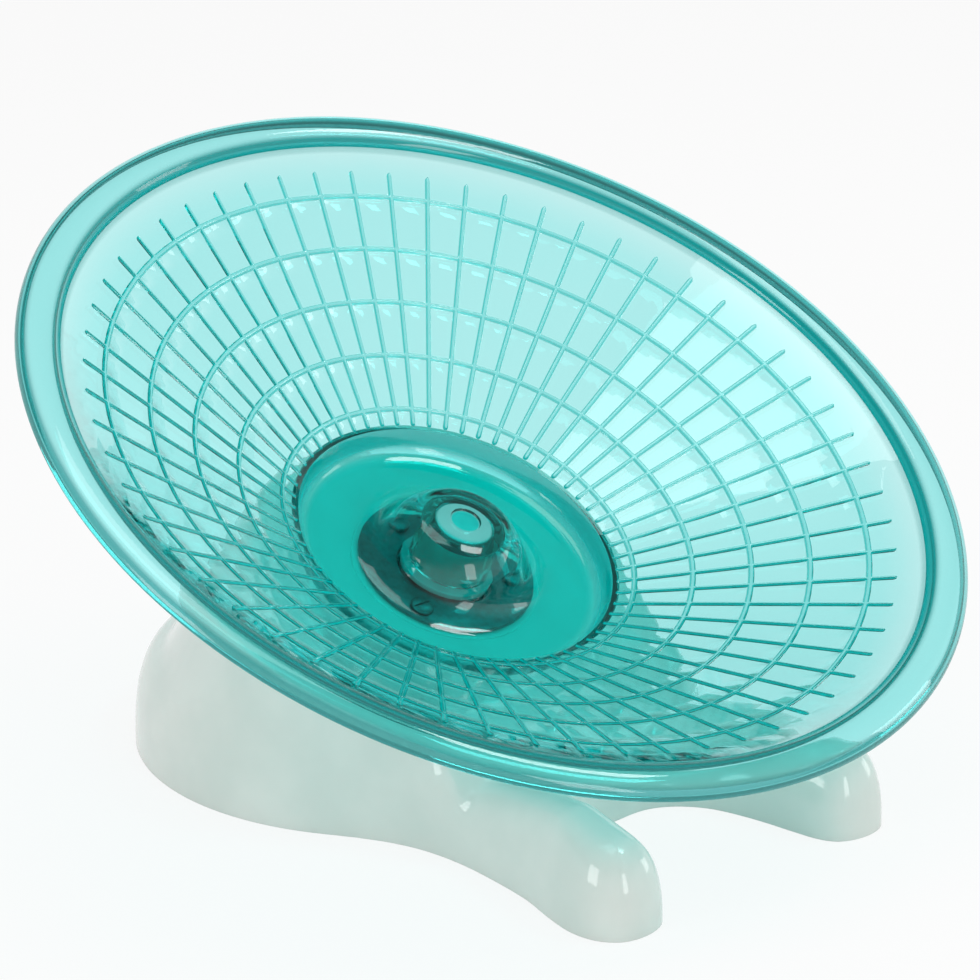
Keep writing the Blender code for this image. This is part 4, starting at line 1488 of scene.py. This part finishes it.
    def height_field(self, loop: np.ndarray, inner: np.ndarray,
                     height: Callable[[np.ndarray, np.ndarray], np.ndarray]) -> tuple[np.ndarray, ...]:
        """Triangles over a loop with a height at each point.

        Args:
            loop: The loop.
            inner: Points inside it.
            height: Gives the height at points that lie at given distances from the loop.

        Returns:
            The points, the triangles and the numbers of the loop's own points.
        """
        plan = np.vstack((loop, inner))
        count = len(loop)
        border = [(index, (index + 1) % count) for index in range(count)]
        corners = [Vector(point) for point in plan.tolist()]
        found = delaunay_2d_cdt(corners, border, [], 0, MERGE_REACH, True)
        flat = np.array([point[:] for point in found[0]])
        faces = np.array(found[2])
        inside = self.edge_distance(flat[faces].mean(1), loop) > 0.0
        distance = self.edge_distance(flat, loop)
        level = np.where(distance > EDGE_REACH, height(flat, np.maximum(distance, 0.0)), 0.0)
        origin = {source: index for index, sources in enumerate(found[3]) for source in sources}
        edge = np.array([origin[index] for index in range(count)])
        return np.column_stack((flat, level)), faces[inside], edge

    def skins(self) -> Surface:
        """The outer and inner skins, joined by a flat rim on the floor.

        The rings along the edge lie closer towards it, at the rounding times 1 - cos a. The inner skin has
        every third of them.

        Returns:
            The closed surface.
        """
        loop = self.outline(self.spacing)
        inner_loop = self.inset(loop, self.wall)
        round_shares = 1.0 - np.cos(np.linspace(0.0, math.pi / 2, self.rounding_rings + 1)[1:])
        outer_insets, inner_insets = round_shares * self.rounding, round_shares[2::3] * self.rounding

        def inner_level(points: np.ndarray, distance: np.ndarray) -> np.ndarray:
            """Height of the inner skin: the outer one's height over its inset outline, less the wall."""
            return np.maximum(self.skin(points, distance) - self.wall, self.stack.gap)

        outer = self.height_field(loop, self.plan_points(loop, outer_insets, self.spacing), self.skin)
        inner_plan = self.plan_points(inner_loop, inner_insets, self.inner_spacing)
        inner = self.height_field(inner_loop, inner_plan, inner_level)
        first = len(outer[0])
        beside, inner_edge = outer[2], inner[2] + first
        rim = np.stack((beside, np.roll(beside, -1), np.roll(inner_edge, -1), inner_edge), axis=1)
        return Surface(np.vstack((outer[0], inner[0])), [outer[1], inner[1] + first, rim])

    def housing(self) -> bpy.types.Mesh:
        """The bearing's housing: a wide head under the platform, and a narrower round wall below it.

        Returns:
            The mesh, still without its bore.
        """
        stack = self.stack
        outer = stack.bearing_radius + stack.gap + self.housing_wall
        top, bottom = stack.bearing_top, stack.seat - self.housing_lip
        head = top - self.head_thickness
        corners = ((0.0, top), (self.head_radius, top), (self.head_radius, head), (outer, head),
                   (outer, bottom), (0.0, bottom))
        return self.workshop.lathe("housing", corners, stack.gap, self.columns, closed=False,
                                   sharp=self.sharp_angle)

    def bore(self, over: float) -> bpy.types.Mesh:
        """What is cut out for the bearing and, below its seat, for the axle.

        Args:
            over: The height along the axis to which the cut goes up.

        Returns:
            The mesh.
        """
        stack = self.stack
        wide = stack.bearing_radius + stack.gap
        narrow = stack.race_wall + stack.bore_radius + stack.race_wall + stack.gap * 2
        under = stack.seat - 2 * self.housing_lip
        profile = np.array(((0.0, over), (wide, over), (wide, stack.seat), (narrow, stack.seat),
                            (narrow, under), (0.0, under)))
        return turned(profile, self.columns, self.workshop.axis).mesh("bore", self.sharp_angle)

    def surface_mesh(self) -> bpy.types.Mesh:
        """The skins with the bearing's housing and screw bosses joined on, and its bore and screw holes cut.

        Returns:
            The mesh.
        """
        stack, workshop, sharp = self.stack, self.workshop, self.sharp_angle
        over = stack.bearing_top + self.housing_lip
        tip = stack.retainer_top + stack.gap - self.screw_depth
        places = stack.screw_places()
        bosses = workshop.bars("bosses", self.screw_boss, tip - stack.gap - self.housing_lip,
                               stack.bearing_top - self.head_thickness / 2, places, sharp)
        holes = workshop.bars("screw_holes", self.screw_hole, tip - stack.gap, over, places, sharp)
        tools = [("UNION", self.housing()), ("UNION", bosses), ("DIFFERENCE", self.bore(over)),
                 ("DIFFERENCE", holes)]
        return workshop.carved(self.skins().mesh("base_moulding", sharp), tools, sharp)

    def build(self) -> None:
        """Add the base."""
        self.workshop.piece("base_moulding", self.surface_mesh(), self.coat, "base", "base_shell")


@dataclass(frozen=True)
class Spindle:
    """What turns with the dish: the boss, whose pale plastic is painted dark as shade under the dome, the
    steel axle, its washers and its clip.
    """

    workshop: Workshop
    stack: HubStack
    cap_coat: Coat
    shaded_boss_coat: Coat
    steel: Coat
    chamfer: float = 0.0005
    cap_radius: float = 0.0057
    cap_thickness: float = 0.0006
    top_cover: float = 0.0021
    spacer_radius: float = 0.0064
    washer_radius: float = 0.007
    clip_radius: float = 0.0062
    clip_opening: float = math.radians(76.0)
    groove_depth: float = 0.0009
    end_length: float = 0.0012
    columns: int = 96
    clip_steps: int = 80
    axle_steps: int = 2
    stamped_share: float = 0.2
    narrowest_share: float = 0.0025

    def cap(self) -> None:
        """Add the pale cap that is set into the top of the boss."""
        top, out = self.stack.boss_top, self.cap_radius
        bottom = top - self.cap_thickness
        cut = self.chamfer / 2
        corners = ((0.0, top), (out - cut, top), (out, top - cut), (out, bottom), (0.0, bottom))
        mesh = self.workshop.lathe("boss_cap", corners, self.chamfer / 4, self.columns, closed=False)
        self.workshop.piece("boss_cap", mesh, self.cap_coat, "spindle", "spindle_boss")

    def boss(self) -> None:
        """Add the boss: a stem that the dish's sleeve drops over, on a flange, with a recess for the cap."""
        stack, out, wide = self.stack, self.stack.boss_radius, self.stack.flange_radius
        bore = stack.axle_radius + stack.gap
        roof = stack.boss_top - self.top_cover
        recess = stack.boss_top - self.cap_thickness
        brim = stack.boss_top - stack.gap
        corners = ((0.0, recess), (self.cap_radius, recess), (self.cap_radius, brim),
                   (out - self.chamfer, brim), (out, brim - self.chamfer), (out, stack.flange_top),
                   (wide, stack.flange_top), (wide, stack.flange_bottom), (bore, stack.flange_bottom),
                   (bore, roof), (0.0, roof))
        mesh = self.workshop.lathe("boss_moulding", corners, stack.gap, self.columns, closed=False)
        self.workshop.piece("boss_moulding", mesh, self.shaded_boss_coat, "spindle", "spindle_boss")

    def axle(self) -> None:
        """Add the axle, with a chamfer at each end and the clip's groove."""
        stack, out, cut = self.stack, self.stack.axle_radius, self.chamfer
        top = stack.boss_top - self.top_cover - stack.gap
        groove = out - self.groove_depth
        above, below = stack.clip_top + stack.gap, stack.clip_bottom - stack.gap
        end = below - self.end_length
        corners = ((0.0, top), (out - cut, top), (out, top - cut), (out, above), (groove, above),
                   (groove, below), (out, below), (out, end + cut), (out - cut, end), (0.0, end))
        rounding = stack.gap / 3
        mesh = self.workshop.lathe("axle", corners, rounding, self.columns, self.axle_steps, closed=False)
        self.workshop.piece("axle", mesh, self.steel, "spindle", "axle_pin")

    def washer(self, name: str, node: str, radius: float, bottom: float, thickness: float) -> None:
        """Add a washer with rounded stamped edges.

        Args:
            name: The piece's name.
            node: The CAD node that it stands for.
            radius: Its outer radius.
            bottom: The height of its underside along the axis.
            thickness: Its thickness.
        """
        bore, top = self.stack.axle_radius + self.stack.gap, bottom + thickness
        corners = ((bore, bottom), (radius, bottom), (radius, top), (bore, top))
        mesh = self.workshop.lathe(name, corners, thickness * self.stamped_share, self.columns)
        self.workshop.piece(name, mesh, self.steel, "spindle", node)

    def clip(self) -> None:
        """Add the open retaining clip: its section carried round most of a turn, a grid closed at both ends.

        At each end the section narrows towards its middle line by the root of 1 - (1 - d) ** 2, where d is
        the distance from the end in half widths, so that the ends are round.
        """
        stack = self.stack
        inner, outer = stack.axle_radius - self.groove_depth + stack.gap, self.clip_radius
        corners = ((inner, stack.clip_bottom), (outer, stack.clip_bottom), (outer, stack.clip_top),
                   (inner, stack.clip_top))
        section = eased(corners, stack.clip_thickness * self.stamped_share)
        travel = np.linspace(0.0, 1.0, self.clip_steps + 1)
        turn = math.tau - self.clip_opening
        angle = self.clip_opening / 2 + turn * travel
        middle = (inner + outer) / 2
        to_end = np.minimum(travel, 1.0 - travel) * turn * middle
        share = np.clip(to_end / ((outer - inner) / 2), 0.0, 1.0)
        narrow = np.sqrt(np.clip(1.0 - (1.0 - share) ** 2, self.narrowest_share, 1.0))[:, None]
        out = middle + (section[:, 0] - middle)[None] * narrow
        height = np.broadcast_to(section[:, 1], out.shape)
        points = np.stack((out * np.cos(angle)[:, None], out * np.sin(angle)[:, None], height), axis=-1)
        count = len(section)
        first = np.arange(count)[None]
        faces = [grid_faces(self.clip_steps + 1, count), first, first + self.clip_steps * count]
        mesh = Surface(self.workshop.axis.place(points.reshape(-1, 3)), faces).mesh("axle_clip", SHARP_EDGE)
        self.workshop.piece("axle_clip", mesh, self.steel, "spindle", "retaining_clip")

    def build(self) -> None:
        """Add every piece of the spindle."""
        stack = self.stack
        self.cap()
        self.boss()
        self.axle()
        self.washer("upper_washer_ring", "spacer_washer", self.spacer_radius, stack.bearing_top + stack.gap,
                    stack.spacer_thickness)
        self.washer("lower_washer_ring", "lower_washer", self.washer_radius, stack.washer_bottom,
                    stack.washer_thickness)
        self.clip()


@dataclass(frozen=True)
class Bearing:
    """The ball bearing between the base and the spindle."""

    workshop: Workshop
    stack: HubStack
    ground: Coat
    plated_and_shaded: Coat
    cage_coat: Coat
    cage_wall: float = 0.0015
    cage_floor: float = 0.0005
    shield_thickness: float = 0.0004
    shield_inset: float = 0.0002
    edge: float = 0.0003
    columns: int = 120
    track_steps: int = 12
    corner_steps: int = 2
    ball_columns: int = 32
    ball_rows: int = 17
    ball_sharp: float = math.radians(60.0)

    def track(self, side: float, land: float) -> list[tuple[float, float]]:
        """The round track of the balls in a ring: an arc about the balls' circle.

        Args:
            side: 1 for the inner ring and -1 for the outer one.
            land: The ring's plain radius beside the track.

        Returns:
            Rows of distance from the axis and height along it, from the lower edge to the upper one.
        """
        radius = self.stack.ball_radius + self.stack.gap
        half = math.acos((self.stack.ball_circle - land) * side / radius)
        angle = np.linspace(-half, half, self.track_steps + 1)
        out = self.stack.ball_circle - side * radius * np.cos(angle)
        return np.stack((out, self.stack.bearing_middle + radius * np.sin(angle)), axis=1).tolist()

    def ring(self, name: str, node: str, body: str, face: float, side: float) -> None:
        """Add a ring of the bearing, chamfered at its seat and grooved on the balls' side.

        Args:
            name: The piece's name.
            node: The CAD node that it stands for.
            body: The body that it rides on.
            face: The radius of its seat.
            side: 1 for the inner ring and -1 for the outer one.
        """
        top, bottom = self.stack.bearing_top, self.stack.bearing_bottom
        cut, land = side * self.edge, face + side * self.stack.race_wall
        corners = [(face + cut, top), (face, top - self.edge), (face, bottom + self.edge),
                   (face + cut, bottom), (land, bottom), *self.track(side, land), (land, top)]
        mesh = self.workshop.lathe(name, corners, self.edge / 4, self.columns, self.corner_steps)
        self.workshop.piece(name, mesh, self.ground, body, node)

    def shield(self, name: str, node: str, side: float) -> None:
        """Add a pressed shield with a shallow step halfway across it.

        Args:
            name: The piece's name.
            node: The CAD node that it stands for.
            side: 1 for the upper shield and -1 for the lower one.
        """
        stack = self.stack
        face = stack.bearing_middle + side * (stack.bearing_width / 2 - self.shield_inset)
        back, low = face - side * self.shield_thickness, face - side * self.shield_inset
        inner = stack.bore_radius + stack.race_wall + stack.gap
        outer = stack.bearing_radius - stack.race_wall - stack.gap
        middle = (inner + outer) / 2
        corners = ((inner, back), (inner, low), (middle - self.edge, low), (middle, face), (outer, face),
                   (outer, back))
        mesh = self.workshop.lathe(name, corners, self.edge / 4, self.columns, self.corner_steps)
        self.workshop.piece(name, mesh, self.plated_and_shaded, "base", node)

    def balls(self, radius: float, places: list[Place]) -> Surface:
        """Balls of one radius: (r cos b cos a, r cos b sin a, r sin b) on a grid of a and b.

        Args:
            radius: The radius.
            places: The upright places of their centres.

        Returns:
            The balls as one surface.
        """
        angle = np.linspace(-math.pi / 2, math.pi / 2, self.ball_rows)
        profile = np.stack((radius * np.cos(angle), radius * np.sin(angle)), axis=1)
        profile[0, 0] = profile[-1, 0] = 0.0
        return turned_copies(profile, self.ball_columns, places, self.workshop.axis)

    def cage(self) -> None:
        """Add the cage: a band with a round pocket for each ball."""
        stack = self.stack
        below = stack.bearing_middle - stack.ball_radius - stack.gap - self.cage_floor
        above = stack.bearing_middle + stack.ball_radius - self.cage_floor
        inner, outer = stack.ball_circle - self.cage_wall / 2, stack.ball_circle + self.cage_wall / 2
        corners = ((inner, below), (outer, below), (outer, above), (inner, above))
        band = self.workshop.lathe("cage_band", corners, self.edge / 2, self.columns)
        pockets = self.balls(stack.ball_radius + stack.gap, stack.ball_places()).mesh("pockets", SHARP_EDGE)
        mesh = self.workshop.carved(band, [("DIFFERENCE", pockets)])
        self.workshop.piece("cage_band", mesh, self.cage_coat, "ball_cage", "bearing_cage")

    def build(self) -> None:
        """Add every piece of the bearing."""
        stack = self.stack
        self.ring("outer_race", "bearing_outer_ring", "base", stack.bearing_radius, -1.0)
        self.ring("inner_race", "bearing_inner_ring", "spindle", stack.bore_radius, 1.0)
        self.shield("upper_shield", "bearing_shield_upper", 1.0)
        self.shield("lower_shield", "bearing_shield_lower", -1.0)
        self.cage()
        for number, place in enumerate(stack.ball_places(), start=1):
            name = f"ball_{number}"
            mesh = self.balls(stack.ball_radius, [place]).mesh(name, self.ball_sharp)
            self.workshop.piece(name, mesh, self.ground, "ball_cage", f"bearing_ball_{number}")


@dataclass(frozen=True)
class Retainer:
    """The pressed ring over the bearing and the screws that hold it."""

    workshop: Workshop
    stack: HubStack
    steel: Coat
    land: float = 0.0014
    screw_radius: float = 0.0013
    screw_length: float = 0.0075
    head_radius: float = 0.0023
    head_height: float = 0.001
    slot_width: float = 0.0006
    slot_depth: float = 0.0004
    columns: int = 120
    screw_columns: int = 48
    dome_steps: int = 8
    edge_share: float = 0.45
    slot_length_share: float = 1.5

    def plate(self) -> None:
        """Add the plate: a flat ring with a hole for each screw."""
        stack, workshop = self.stack, self.workshop
        bottom, top, wide = stack.bearing_top + stack.gap, stack.retainer_top, stack.retainer_radius
        thickness, inner = stack.retainer_thickness, stack.bearing_radius - self.land
        corners = ((inner, bottom), (wide, bottom), (wide, top), (inner, top))
        ring = workshop.lathe("retainer_ring", corners, thickness / 4, self.columns)
        holes = workshop.bars("holes", self.screw_radius + stack.gap, bottom - thickness, top + thickness,
                              stack.screw_places())
        mesh = workshop.carved(ring, [("DIFFERENCE", holes)])
        workshop.piece("retainer_ring", mesh, self.steel, "base", "retainer_plate")

    def driver_slot(self, place: Place, top: float) -> bpy.types.Mesh:
        """The box that is cut out of a screw's head.

        Args:
            place: The screw's place.
            top: The height of its head's top along the axis.

        Returns:
            The box.
        """
        corner = np.array([(a, b, c) for a in (-1, 1) for b in (-1, 1) for c in (-1, 1)], float)
        half = (self.head_radius * self.slot_length_share, self.slot_width / 2, self.slot_depth)
        box = corner * half + (place[0], place[1], top)
        sides = np.array(((0, 1, 3, 2), (4, 6, 7, 5), (0, 4, 5, 1), (2, 3, 7, 6), (0, 2, 6, 4), (1, 5, 7, 3)))
        return Surface(self.workshop.axis.place(box), [sides]).mesh("slot", SHARP_EDGE)

    def screw(self, number: int, place: Place) -> None:
        """Add a pan-head screw with a slot and a tapering point.

        The head's top is part of an ellipse: it rises with the sine of the angle, from a share of its height.

        Args:
            number: The screw's number.
            place: Its place.
        """
        seat = self.stack.retainer_top + self.stack.gap
        top, tip = seat + self.head_height, seat - self.screw_length
        dome = [(self.head_radius * math.cos(angle),
                 seat + self.head_height * (self.edge_share + (1.0 - self.edge_share) * math.sin(angle)))
                for angle in np.linspace(math.pi / 2, 0.0, self.dome_steps + 1)]
        dome[0] = (0.0, top)
        shank = [(self.head_radius, seat), (self.screw_radius, seat),
                 (self.screw_radius, tip + self.screw_radius), (0.0, tip)]
        name = f"retainer_screw_head_{number}"
        profile = np.array(dome + shank)
        body = turned_copies(profile, self.screw_columns, [place], self.workshop.axis).mesh(name, SHARP_EDGE)
        mesh = self.workshop.carved(body, [("DIFFERENCE", self.driver_slot(place, top))])
        self.workshop.piece(name, mesh, self.steel, "base", f"retainer_screw_{number}")

    def build(self) -> None:
        """Add the plate and its screws."""
        self.plate()
        for number, place in enumerate(self.stack.screw_places(), start=1):
            self.screw(number, place)


@dataclass(frozen=True)
class Softbox:
    """A studio lamp with a rectangular face.

    Attributes:
        name: The lamp's name.
        towards: The direction from the object to the lamp.
        distance: How far away it stands.
        size: Its width and height.
        strength: How bright its face is, where 1 is white.
        aim: The point that it faces.
    """

    name: str
    towards: Place
    distance: float
    size: Range
    strength: float
    aim: Place = (0.0, 0.0, 0.05)

    def build(self) -> None:
        """Add the lamp, turned to face the object."""
        lamp = bpy.data.lights.new(self.name, "AREA")
        lamp.shape = "RECTANGLE"
        lamp.size, lamp.size_y = self.size
        lamp.energy = self.strength * math.pi * self.size[0] * self.size[1]
        made = bpy.data.objects.new(self.name, lamp)
        way = Vector(self.towards).normalized()
        made.location = way * self.distance + Vector(self.aim)
        made.rotation_euler = way.to_track_quat("Z", "Y").to_euler()
        bpy.context.scene.collection.objects.link(made)


@dataclass(frozen=True)
class Studio:
    """A white room with soft lamps, and the camera at the photo's angle.

    Attributes:
        camera_place: Where the camera stands.
        camera_way: The direction in which it looks.
        lens: Its focal length, in millimetres.
        sensor: The width of its sensor, in millimetres.
        floor_reach: Half the floor's width.
        floor_tone: The pattern of the floor.
        floor_grey: Its darker tone.
        floor_pale: Its lighter tone.
        reflections: How many times light is followed from gloss to gloss.
        ambient: The brightness of the room as light.
        ceiling: The brightness of the ceiling in gloss.
        ceiling_shares: How far up the room, as a share of straight up, the ceiling starts and is full.
        shadow_share: How much of the object's shadow the floor shows.
        seen_rays: What sees the room and the floor as white.
        lamps: The lamps.
    """

    camera_place: tuple[float, float, float] = (-0.4878, -0.4985, 0.3136)
    camera_way: tuple[float, float, float] = (0.6545, 0.6743, -0.3420)
    lens: float = 142.6
    sensor: float = 36.0
    floor_reach: float = 3.0
    floor_tone: Noise = Noise(3.0, 2.0, 0.5)
    floor_grey: Colour = (0.86, 0.86, 0.86)
    floor_pale: Colour = (0.89, 0.89, 0.89)
    reflections: int = 10
    ambient: float = 0.60
    ceiling: Colour = (0.2, 0.2, 0.2)
    ceiling_shares: Range = (0.2, 0.6)
    shadow_share: float = 0.16
    seen_rays: tuple[str, ...] = ("Is Camera Ray", "Is Glossy Ray", "Is Transmission Ray")
    lamps: tuple[Softbox, ...] = (
        Softbox("key_window", (-0.96, 0.10, 0.26), 1.0, (0.36, 0.42), 4.5),
        Softbox("front_window", (-0.10, -0.99, 0.22), 1.0, (0.26, 0.42), 4.5),
        Softbox("top_panel", (0.02, 0.0, 1.0), 1.0, (0.5, 0.5), 2.4),
        Softbox("dome_panel", (0.44, -0.30, 0.85), 1.0, (0.22, 0.22), 9.0),
        Softbox("right_window", (0.9, -0.5, 0.2), 1.2, (0.3, 0.4), 3.0),
    )

    def seen_directly(self, recipe: Recipe) -> Value:
        """What the camera sees, itself, in gloss or through clear plastic.

        Args:
            recipe: The nodes of what is seen.

        Returns:
            1 for that, and 0 for what only gives light.
        """
        path = recipe.node("ShaderNodeLightPath")
        first, second, third = (Value(recipe, path.outputs[name]) for name in self.seen_rays)
        return first.larger(second).larger(third)

    def room(self) -> None:
        """Make the world: white where it is seen, but gloss shows a dark ceiling over the white horizon.

        Where it only gives light it is softer, and the same all round.
        """
        world = bpy.data.worlds.new("white_room")
        bpy.context.scene.world = world
        recipe = Recipe(world)
        way = recipe.node("ShaderNodeTexCoord").outputs["Generated"]
        height = recipe.value("ShaderNodeSeparateXYZ", None, {0: way}, 2)
        gloss = recipe.value("ShaderNodeLightPath", output="Is Glossy Ray")
        seen = recipe.mix(height.between(*self.ceiling_shares) * gloss, WHITE, self.ceiling)
        light = recipe.shader("ShaderNodeBackground", {"Color": full(WHITE), "Strength": self.ambient})
        white = recipe.shader("ShaderNodeBackground", {"Color": seen, "Strength": 1.0})
        surface = recipe.blend(self.seen_directly(recipe), light, white)
        recipe.node("ShaderNodeOutputWorld", None, {"Surface": surface})

    def floor(self) -> None:
        """Add the floor, which shows white but keeps a share of the object's shadow."""
        corners = [(x, y, 0.0) for x, y in ((-1, -1), (1, -1), (1, 1), (-1, 1))]
        mesh = bpy.data.meshes.new("studio_floor")
        mesh.from_pydata((np.array(corners) * self.floor_reach).tolist(), [], [(0, 1, 2, 3)])
        made = bpy.data.objects.new("studio_floor", mesh)
        bpy.context.scene.collection.objects.link(made)
        recipe = Recipe(bpy.data.materials.new("white_floor"))
        tone = recipe.mix(recipe.noise(recipe.place(), self.floor_tone), self.floor_grey, self.floor_pale)
        board = recipe.shader("ShaderNodeBsdfDiffuse", {"Color": tone})
        white = recipe.shader("ShaderNodeEmission", {"Color": full(WHITE), "Strength": 1.0})
        share = self.seen_directly(recipe) * (1.0 - self.shadow_share)
        mesh.materials.append(recipe.finish(recipe.blend(share, board, white)))

    def camera(self) -> None:
        """Add the camera at the photo's viewing angle."""
        lens = bpy.data.cameras.new("photo_view")
        lens.lens = self.lens
        lens.sensor_width = self.sensor
        made = bpy.data.objects.new("photo_view", lens)
        made.location = self.camera_place
        made.rotation_euler = Vector(self.camera_way).to_track_quat("-Z", "Y").to_euler()
        bpy.context.scene.collection.objects.link(made)
        bpy.context.scene.camera = made

    def build(self) -> None:
        """Set up the room, the floor, the lamps and the camera."""
        bpy.context.scene.view_settings.view_transform = "Standard"
        bpy.context.scene.cycles.glossy_bounces = self.reflections
        self.room()
        self.floor()
        self.camera()
        for lamp in self.lamps:
            lamp.build()


def main() -> None:
    """Build every sub-assembly in order, then the studio."""
    logging.basicConfig(level=logging.INFO, format="%(name)s: %(message)s")
    axis = SpinAxis()
    workshop, stack = Workshop(axis), HubStack()
    ground, plated_and_shaded = Steel.GROUND.value.coat(axis), Steel.PLATED_AND_SHADED.value.coat(axis)
    BaseShell(workshop, stack, Moulding.BASE.value.coat()).build()
    Bearing(workshop, stack, ground, plated_and_shaded, CagePlastic().coat()).build()
    Retainer(workshop, stack, plated_and_shaded).build()
    Spindle(workshop, stack, Moulding.CAP.value.coat(), Moulding.SHADED_STEM.value.coat(), plated_and_shaded).build()
    SaucerDish(workshop, stack, ClearTealPlastic()).build()
    Studio().build()


if __name__ == "__main__":
    main()
